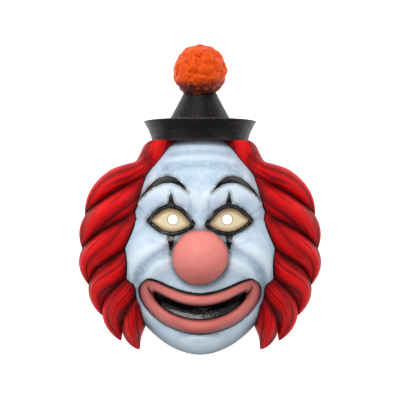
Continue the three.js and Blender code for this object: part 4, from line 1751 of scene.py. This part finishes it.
    def marks(self, piece: Object) -> dict[str, Array]:
        """What the paint follows at each corner of the hair: its lock, its place on it, and how deep it lies.

        Args:
            piece: the joined hair.

        Returns:
            The values of each mark.
        """
        points = self.bench.points(piece)
        at, slots = self.bench.corners(piece)
        locks = [self.follow(points, number) for number in range(len(self.locks))]
        named = [int(finish.name.split("_")[1]) if finish and finish.name.startswith("lock_") else 0
                 for finish in piece.data.materials]
        owner = np.array(named)[slots]
        own = {key: np.stack([lock[key] for lock in locks])[owner, at] for key in locks[0]}
        sunk = self.bench.sunk(piece, points[:, 2], 6)[at]
        face = np.maximum(0, points[:, 2] - self.form.height(points[:, 0], points[:, 1]))
        root = self.bench.evened(piece, at, smoothstep(34, 4, own["run"]), 30)
        grown = 1.0 - root
        crown = smoothstep(0.35, 0.95, own["ridge"]) * smoothstep(0.2, 0.75, own["lift"])
        _turn, share = self.form.round_of(points[:, 0], points[:, 1])
        beside = np.where(share < 1.0, face, np.hypot((share - 1) * self.form.half_width, points[:, 2]))
        # ridge carries painted highlights; dip, groove, root and face_edge carry painted shade
        return {
            "lock": 3.0 * owner, "run": own["run"], "round": own["round"], "root": root,
            "ridge": self.bench.evened(piece, at, crown * grown, 8),
            "dip": self.bench.evened(piece, at, smoothstep(0.4, 0.05, own["ridge"]) * grown, 3),
            "face_edge": beside[at],
            "groove": np.maximum.reduce([
                self.partings(piece, at, owner, own["run"])[at],
                self.bench.evened(piece, at, smoothstep(0.42, 0.1, own["lift"]) * 0.8 * grown, 8),
                smoothstep(0.15, 0.8, sunk) * 0.7 * grown]),
        }

    def soften_creases(self, piece: Object, roots: Array, rounds: int) -> None:
        """Round the sharp valleys between the locks, as a thick coat of paint fills them.

        Args:
            piece: the joined hair.
            roots: how near a lock's root each corner of its faces is.
            rounds: how many times the valleys are evened out.
        """
        at, slots = self.bench.corners(piece)
        bare = np.array([finish == self.bench.bare for finish in piece.data.materials])[slots]
        free = np.ones(len(piece.data.vertices), bool)
        free[at[bare]] = False
        points = self.bench.points(piece)
        free &= points[:, 1] < self.hat_foot - 1.0
        near_root = np.zeros(len(free))
        np.maximum.at(near_root, at, roots)
        for turn in range(4 * rounds):
            moves = np.stack([self.bench.sunk(piece, points[:, axis], 1) for axis in range(3)], axis=1)
            sharp = smoothstep(0.03, 0.2, np.linalg.norm(moves, axis=1)) if turn < rounds else near_root
            points += moves * (sharp * free)[:, None]
        self.bench.move(piece, points)

    def settle_shoulders(self, piece: Object) -> None:
        """Let the hair that stands out past the hat's foot slope down from it.

        Args:
            piece: the joined hair.
        """
        points = self.bench.points(piece)
        past_hat = smoothstep(*self.shoulder, np.abs(points[:, 0]))
        raised = smoothstep(self.shoulder_foot, self.hat_foot, points[:, 1])
        points[:, 1] -= self.shoulder_drop * past_hat * raised
        self.bench.move(piece, points)

    def build(self, block: Object) -> None:
        """Make both sides' hair.

        Args:
            block: what the face fills, with the glue gap round it.
        """
        red = self.paint.material()
        rule = LockRule(self.belly, self.fall)
        owners = [bpy.data.materials.new(f"lock_{i}") for i in range(len(self.locks))]
        outers = [self.lock(rule, i, 0.0, owners[i]) for i in range(len(self.locks))]
        hollows = [self.lock(rule, i, WALL, self.bench.bare) for i in range(len(self.locks))]
        end = self.hat_foot - HAIRLINE
        above = self.bench.box("above_hat_foot", (-ROOM, end, -ROOM), (ROOM, ROOM, ROOM))
        above.data.materials.append(red)
        end_wall = self.bench.box("end_wall", (-ROOM, end - WALL, -ROOM), (ROOM, ROOM, ROOM))
        rest = [(Join.ADD, hollow) for hollow in hollows[1:]]
        inner = self.bench.carve(hollows[0], rest + [(Join.CUT, end_wall)])
        rest = [(Join.ADD, outer) for outer in outers[1:]]
        cuts = [(Join.CUT, inner), (Join.CUT, block), (Join.CUT, above)]
        right = self.bench.carve(outers[0], rest + cuts)
        right.name = "hair_right_painted"
        marks = self.marks(right)
        self.bench.mark(right, marks)
        self.soften_creases(right, marks["root"], 8)
        self.settle_shoulders(right)
        for side, piece in ((Side.LEFT, self.mirrored(right)), (Side.RIGHT, right)):
            self.bench.settle(piece, f"hair_{side.value}", "red", [red, self.bench.bare])
        self.bench.discard(outers[1:] + hollows + [above, end_wall])
        for owner in owners:
            bpy.data.materials.remove(owner)

    def mirrored(self, right: Object) -> Object:
        """The same hair on the other side, with its faces turned outwards again.

        Args:
            right: the hair on the right.

        Returns:
            The hair on the left.
        """
        left = right.copy()
        left.data = right.data.copy()
        left.name = "hair_left_painted"
        bpy.context.scene.collection.objects.link(left)
        flat = read(left.data.vertices, "co", 3, np.float32)
        flat[::3] *= -1
        left.data.vertices.foreach_set("co", flat)
        left.data.flip_normals()
        return left


@dataclass
class Hat:
    """The small black hat: a flared cuff on a deck, and a tapering crown."""

    bench: Bench
    form: FaceForm
    paint: BlackHatPaint = field(default_factory=BlackHatPaint)
    foot: float = 120.0
    depth_share: float = 0.84
    brim_foot: float = 58.0
    brim_top: float = 68.0
    brim_height: float = 25.0
    roll: float = 1.3
    crown_foot: float = 52.0
    crown_top: float = 17.0
    crown_height: float = 62.0
    stroke_radius: float = 60.0
    steps: int = 200

    def turned(self, name: str, profile: list[Pair]) -> Object:
        """A profile of radius and height turned round the hat's upright axis, and flattened front to back.

        Args:
            name: the object's name.
            profile: the radius and height of each corner.

        Returns:
            A closed mesh.
        """
        turn = np.linspace(0, 2 * np.pi, self.steps, endpoint=False)
        rows = np.array(profile, float)
        radius, height = rows[:, :1], rows[:, 1:]
        points = np.stack([radius * np.cos(turn), np.broadcast_to(self.foot + height, (len(rows), len(turn))),
                           radius * np.sin(turn) * self.depth_share], axis=-1)
        faces = grid_faces(len(rows), len(turn))
        return self.bench.weld(self.bench.make(name, points.reshape(-1, 3), faces))

    def brim_profile(self) -> list[Pair]:
        """The cuff's outer side, its rolled lip, its inner side and the deck.

        Returns:
            The radius and height of each corner.
        """
        flare = self.brim_top - self.brim_foot
        climb = np.linspace(0.0, 0.94, 20)
        outside = [(self.brim_foot + flare * s ** 1.6, self.brim_height * s) for s in climb]
        outside[0] = (self.brim_foot - 0.2, 0.0)
        outside.insert(1, (self.brim_foot, 0.2))
        turn = np.linspace(-0.3, np.pi + 0.3, 9)
        out, high = self.brim_top - self.roll, self.brim_height - self.roll
        roll = [(out + self.roll * math.cos(t), high + self.roll * math.sin(t)) for t in turn]
        inside = [(r - WALL, h) for r, h in outside[:2:-1] if h > WALL + 1.2]
        deck = [(self.brim_foot - WALL - 0.6, WALL), (self.crown_foot, WALL), (26.0, WALL), (0.0, WALL)]
        return [(0.0, 0.0), (30.0, 0.0)] + outside + roll + inside + deck

    def crown_profile(self, inset: float, steps: int) -> list[Pair]:
        """The crown's side from its foot to its top, set in by a distance.

        Args:
            inset: the distance.
            steps: how many corners it has.

        Returns:
            The radius and height of each corner.
        """
        start = WALL + GLUE_GAP
        side = [(self.crown_foot + (self.crown_top - self.crown_foot) * s ** 0.92 - inset,
                 start + self.crown_height * s - (inset if s == 1 else 0)) for s in np.linspace(0, 1, steps)]
        if inset == 0:
            radius, top = side[-1]
            side[-1:] = [(radius - 0.4, top - 0.35), (radius - 1.2, top)]
        return side

    def marks(self, piece: Object, edges: Iterable[float], seam: float) -> None:
        """Mark a piece of the hat for its paint.

        Args:
            piece: the brim or the crown.
            edges: the heights of its worn edges above the hat's foot.
            seam: the height of the glued seam above the hat's foot.
        """
        points = self.bench.points(piece)
        rise = points[:, 1] - self.foot
        turn = np.arctan2(points[:, 2] / self.depth_share, points[:, 0])
        edge = np.min([np.abs(rise - height) for height in edges], axis=0)
        self.bench.mark(piece, {"around": turn * self.stroke_radius, "rise": rise, "edge": edge,
                                "seam": np.abs(rise - seam)})

    def build(self, block: Object) -> Object:
        """Make the brim and the crown.

        Args:
            block: what the face fills, with the glue gap round it.

        Returns:
            What the crown fills, with the glue gap round it, for cutting the pompom.
        """
        black = self.paint.material()
        behind = self.bench.behind()
        brim = self.turned("hat_brim_painted", self.brim_profile())
        brim.data.materials.append(black)
        self.bench.carve(brim, [(Join.CUT, behind), (Join.CUT, block)])
        self.marks(brim, (0.0, self.brim_height), self.brim_height)
        self.bench.settle(brim, "hat_brim", "black", [black])
        top = WALL + GLUE_GAP + self.crown_height
        solid = self.crown_profile(0.0, 60)
        crown = self.turned("hat_crown_painted", [(0.0, solid[0][1])] + solid + [(0.0, top)])
        crown.data.materials.append(black)
        side = self.crown_profile(WALL, 24)
        room = self.turned("crown_room", [(0.0, side[0][1] - 5.0), (side[0][0], side[0][1] - 5.0)] + side
                           + [(0.0, side[-1][1])])
        self.bench.carve(crown, [(Join.CUT, room), (Join.CUT, behind)])
        self.marks(crown, (WALL + GLUE_GAP, top), WALL + GLUE_GAP)
        self.bench.settle(crown, "hat_crown", "black", [black, self.bench.bare])
        grown = [(r + GLUE_GAP, h) for r, h in self.crown_profile(0.0, 30)]
        high = top + GLUE_GAP
        filled = self.turned("crown_block", [(0.0, WALL + GLUE_GAP)] + grown
                             + [(grown[-1][0], high), (0.0, high)])
        self.bench.discard([behind, room])
        return filled


class TuftRule(Rule):
    """The rule for the pompom: a ball with rounded tufts spread evenly by the golden angle."""

    def __init__(self) -> None:
        """Build the tree."""
        super().__init__("tufted_ball", {
            "NodeSocketFloat": ("Core Radius", "Tuft Rise", "Tuft Spread", "Carving"),
            "NodeSocketInt": ("Tufts", "Smoothness"),
            "NodeSocketVector": ("Middle",),
            "NodeSocketMaterial": ("Finish",),
        })
        self.wire()

    def tufts(self) -> Node:
        """A point on the unit ball for each tuft.

        Returns:
            The points.
        """
        tree, given = self.tree, self.given
        index = add(tree, "GeometryNodeInputIndex")
        odd = add(tree, MATH, {0: index, 1: 2.0, 2: 1.0}, operation="MULTIPLY_ADD")
        share = add(tree, MATH, {0: odd, 1: given["Tufts"]}, operation="DIVIDE")
        z = add(tree, MATH, {0: 1.0, 1: share}, operation="SUBTRACT")
        square = add(tree, MATH, {0: z, 1: z}, operation="MULTIPLY")
        rest = add(tree, MATH, {0: 1.0, 1: square}, operation="SUBTRACT")
        ring = add(tree, MATH, {0: rest}, operation="SQRT")
        turn = add(tree, MATH, {0: index, 1: math.pi * (3 - math.sqrt(5))}, operation="MULTIPLY")
        sides = [add(tree, MATH, {0: turn}, operation=name) for name in ("COSINE", "SINE")]
        x, y = (add(tree, MATH, {0: ring, 1: side}, operation="MULTIPLY") for side in sides)
        spot = add(tree, "ShaderNodeCombineXYZ", {0: x, 1: y, 2: z})
        return add(tree, "GeometryNodePoints", {"Count": given["Tufts"], "Position": spot})

    def wire(self) -> None:
        """Move each point of a unit ball out to the tuft or the carved cut that it lies on."""
        tree, given = self.tree, self.given
        ball = add(tree, "GeometryNodeMeshIcoSphere", {"Radius": 1.0, "Subdivisions": given["Smoothness"]})
        here = add(tree, "GeometryNodeInputPosition")
        uneven = add(tree, "ShaderNodeTexNoise", {"Vector": here, "Scale": 3.6, "Detail": 2.0})
        bent = add(tree, VECTOR_MATH, {0: uneven.outputs["Color"], 1: (0.5, 0.5, 0.5)},
                   operation="SUBTRACT")
        strayed = add(tree, VECTOR_MATH, {0: bent, 3: 0.35}, operation="SCALE")
        asked = add(tree, VECTOR_MATH, {0: here, 1: strayed}, operation="ADD")
        near = add(tree, "GeometryNodeProximity", {0: self.tufts(), "Sample Position": asked},
                   target_element="POINTS")
        chord = add(tree, MATH, {0: near.outputs["Distance"], 1: 0.5}, operation="MULTIPLY", use_clamp=True)
        half = add(tree, MATH, {0: chord}, operation="ARCSINE")
        angle = add(tree, MATH, {0: half, 1: 2.0}, operation="MULTIPLY")
        share = add(tree, MATH, {0: angle, 1: given["Tuft Spread"]}, operation="DIVIDE")
        square = add(tree, MATH, {0: share, 1: share}, operation="MULTIPLY")
        bulge = add(tree, MATH, {0: 1.0, 1: square}, operation="SUBTRACT", use_clamp=True)
        cuts = add(tree, "ShaderNodeTexVoronoi", {"Vector": asked, "Scale": 3.0, "Smoothness": 0.3,
                                                  "Randomness": 0.95}, feature="SMOOTH_F1")
        scoop = add(tree, MATH, {0: cuts.outputs["Distance"], 1: 1.7}, operation="POWER")
        core = add(tree, MATH, {0: bulge, 1: given["Tuft Rise"], 2: given["Core Radius"]},
                   operation="MULTIPLY_ADD")
        radius = add(tree, MATH, {0: scoop, 1: given["Carving"], 2: core}, operation="MULTIPLY_ADD")
        grown = add(tree, VECTOR_MATH, {0: here, 3: radius}, operation="SCALE")
        placed = add(tree, VECTOR_MATH, {0: grown, 1: given["Middle"]}, operation="ADD")
        self.close(ball, placed)


@dataclass
class Pompom:
    """The carved pompom on the crown's top, a hollow ball cut flat at the back."""

    bench: Bench
    paint: OrangePaint = field(default_factory=OrangePaint)
    radius: float = 32.0
    tuft_rise: float = 3.0
    spread: float = 0.42
    tufts: int = 46
    carving: float = 3.4
    height: float = 204.3
    stand: float = 6.0
    seam: float = 184.3

    def ball(self, name: str, core: float, rise: float, carving: float, fine: int,
             finish: Material) -> Object:
        """A tufted ball, or with no rise and no carving the smooth hollow inside it.

        Args:
            name: the object's name.
            core: the radius between the tufts.
            rise: how far the tufts stand out.
            carving: how deep the cuts are.
            fine: how many times its faces are divided.
            finish: its material.

        Returns:
            A closed mesh.
        """
        return self.bench.grown(name, TuftRule(), {
            "Core Radius": core * MM, "Tuft Rise": rise * MM, "Carving": carving * MM,
            "Tuft Spread": self.spread, "Tufts": self.tufts, "Smoothness": fine, "Finish": finish,
            "Middle": (0.0, (self.height + self.bench.shift) * MM, self.stand * MM),
        })

    def build(self, crown: Object) -> None:
        """Make the pompom and mark its tufts and cuts, and the painted shade beside the hat.

        Args:
            crown: what the crown fills, with the glue gap round it.
        """
        orange = self.paint.material()
        core = self.radius - self.tuft_rise
        pompom = self.ball("pompom_painted", core - 0.8, self.tuft_rise, self.carving, 7, orange)
        hollow = self.ball("pompom_hollow", core - 0.6 - WALL, 0.0, 0.0, 5, self.bench.bare)
        behind = self.bench.behind()
        self.bench.carve(pompom, [(Join.CUT, hollow), (Join.CUT, behind), (Join.CUT, crown)])
        points = self.bench.points(pompom)
        away = np.linalg.norm(points - (0.0, self.height, self.stand), axis=1)
        fine, wide = self.bench.sunk(pompom, away, 4), self.bench.sunk(pompom, away, 30)
        # proud carries painted highlights, cut and pit painted shade, and hat the painted shade at the foot
        self.bench.mark(pompom, {
            "proud": smoothstep(0.1, -0.5, wide) * smoothstep(0.1, -0.05, fine),
            "cut": smoothstep(0.12, 0.75, wide), "pit": smoothstep(0.05, 0.2, fine),
            "hat": points[:, 1] - self.seam - 0.1 * np.abs(points[:, 0]),
        })
        self.bench.settle(pompom, "pompom", "orange", [orange, self.bench.bare])
        self.bench.discard([hollow, behind])


@dataclass
class Studio:
    """The plain pale table, the soft lights and the camera straight above the mask."""

    lens: float = 85.0
    sensor: float = 36.0
    aim_height: float = 0.03

    def table(self) -> None:
        """A wide pale table that glows a little, as a light table does."""
        bpy.ops.mesh.primitive_plane_add(size=12.0, location=(0.0, 0.0, -0.0004))
        table = bpy.context.object
        table.name = "table"
        material = bpy.data.materials.new("white_table")
        material.use_nodes = True
        shader = material.node_tree.nodes["Principled BSDF"]
        shader.inputs["Base Color"].default_value = (0.9, 0.9, 0.9, 1.0)
        shader.inputs["Roughness"].default_value = 0.9
        shader.inputs["Emission Color"].default_value = (1.0, 1.0, 1.0, 1.0)
        shader.inputs["Emission Strength"].default_value = 0.8
        table.data.materials.append(material)

    def lamp(self, name: str, place: Triple, size: float, watts: float) -> None:
        """A square soft light that faces the mask.

        Args:
            name: the lamp's name.
            place: where it hangs, in metres.
            size: its side, in metres.
            watts: its strength.
        """
        light = bpy.data.lights.new(name, "AREA")
        light.size = size
        light.energy = watts
        made = bpy.data.objects.new(name, light)
        made.location = place
        aim = made.location.copy()
        made.rotation_euler = aim.to_track_quat("Z", "Y").to_euler()
        bpy.context.scene.collection.objects.link(made)

    def lights(self) -> None:
        """A large key above the forehead, a fill on each side, and a pale world."""
        self.lamp("key", (-0.3, 0.9, 1.4), 0.8, 19.0)
        self.lamp("fill_left", (-1.2, -0.1, 1.1), 0.9, 4.5)
        self.lamp("fill_right", (1.2, 0.0, 1.1), 0.9, 5.5)
        world = bpy.data.worlds.new("studio")
        bpy.context.scene.world = world
        world.use_nodes = True
        tree = world.node_tree
        dim = tree.nodes["Background"]
        dim.inputs["Color"].default_value = (0.92, 0.95, 1.0, 1.0)
        dim.inputs["Strength"].default_value = 0.25
        pale = add(tree, "ShaderNodeBackground", {"Color": (0.95, 0.96, 0.97, 1.0), "Strength": 1.0})
        seen = add(tree, "ShaderNodeLightPath").outputs["Is Camera Ray"]
        both = add(tree, "ShaderNodeMixShader", {0: seen, 1: dim, 2: pale})
        tree.links.new(both.outputs[0], tree.nodes["World Output"].inputs[0])

    def camera(self) -> None:
        """Look straight down on the mask from where the photograph's frame is filled."""
        wide = PHOTO_SCALE * PHOTO_PIXELS * MM
        camera = bpy.data.cameras.new("camera")
        camera.lens = self.lens
        camera.sensor_width = self.sensor
        made = bpy.data.objects.new("camera", camera)
        made.location = (0.0, 0.0, self.aim_height + wide * self.lens / self.sensor)
        bpy.context.scene.collection.objects.link(made)
        bpy.context.scene.camera = made

    def build(self) -> None:
        """Set the studio up, with the tones left as the paint has them."""
        bpy.context.scene.view_settings.view_transform = "Standard"
        self.table()
        self.lights()
        self.camera()


def main() -> None:
    """Make the mask's pieces in order, and set up the studio."""
    logging.basicConfig(level=logging.INFO, format="%(name)s: %(message)s")
    form = FaceForm()
    bench = Bench(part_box("face")[0][1] / MM + form.chin, BareInside().material())
    Studio().build()
    pink = SalmonPaint()
    pink_coat = pink.material()
    face = Face(bench, form)
    face.build()
    block = face.block()
    Nose(bench, form, pink).build(block, pink_coat)
    Lips(bench, form).build(pink_coat)
    Hair(bench, form).build(block)
    crown = Hat(bench, form).build(block)
    Pompom(bench).build(crown)
    bench.discard([block, crown])


if __name__ == "__main__":
    main()
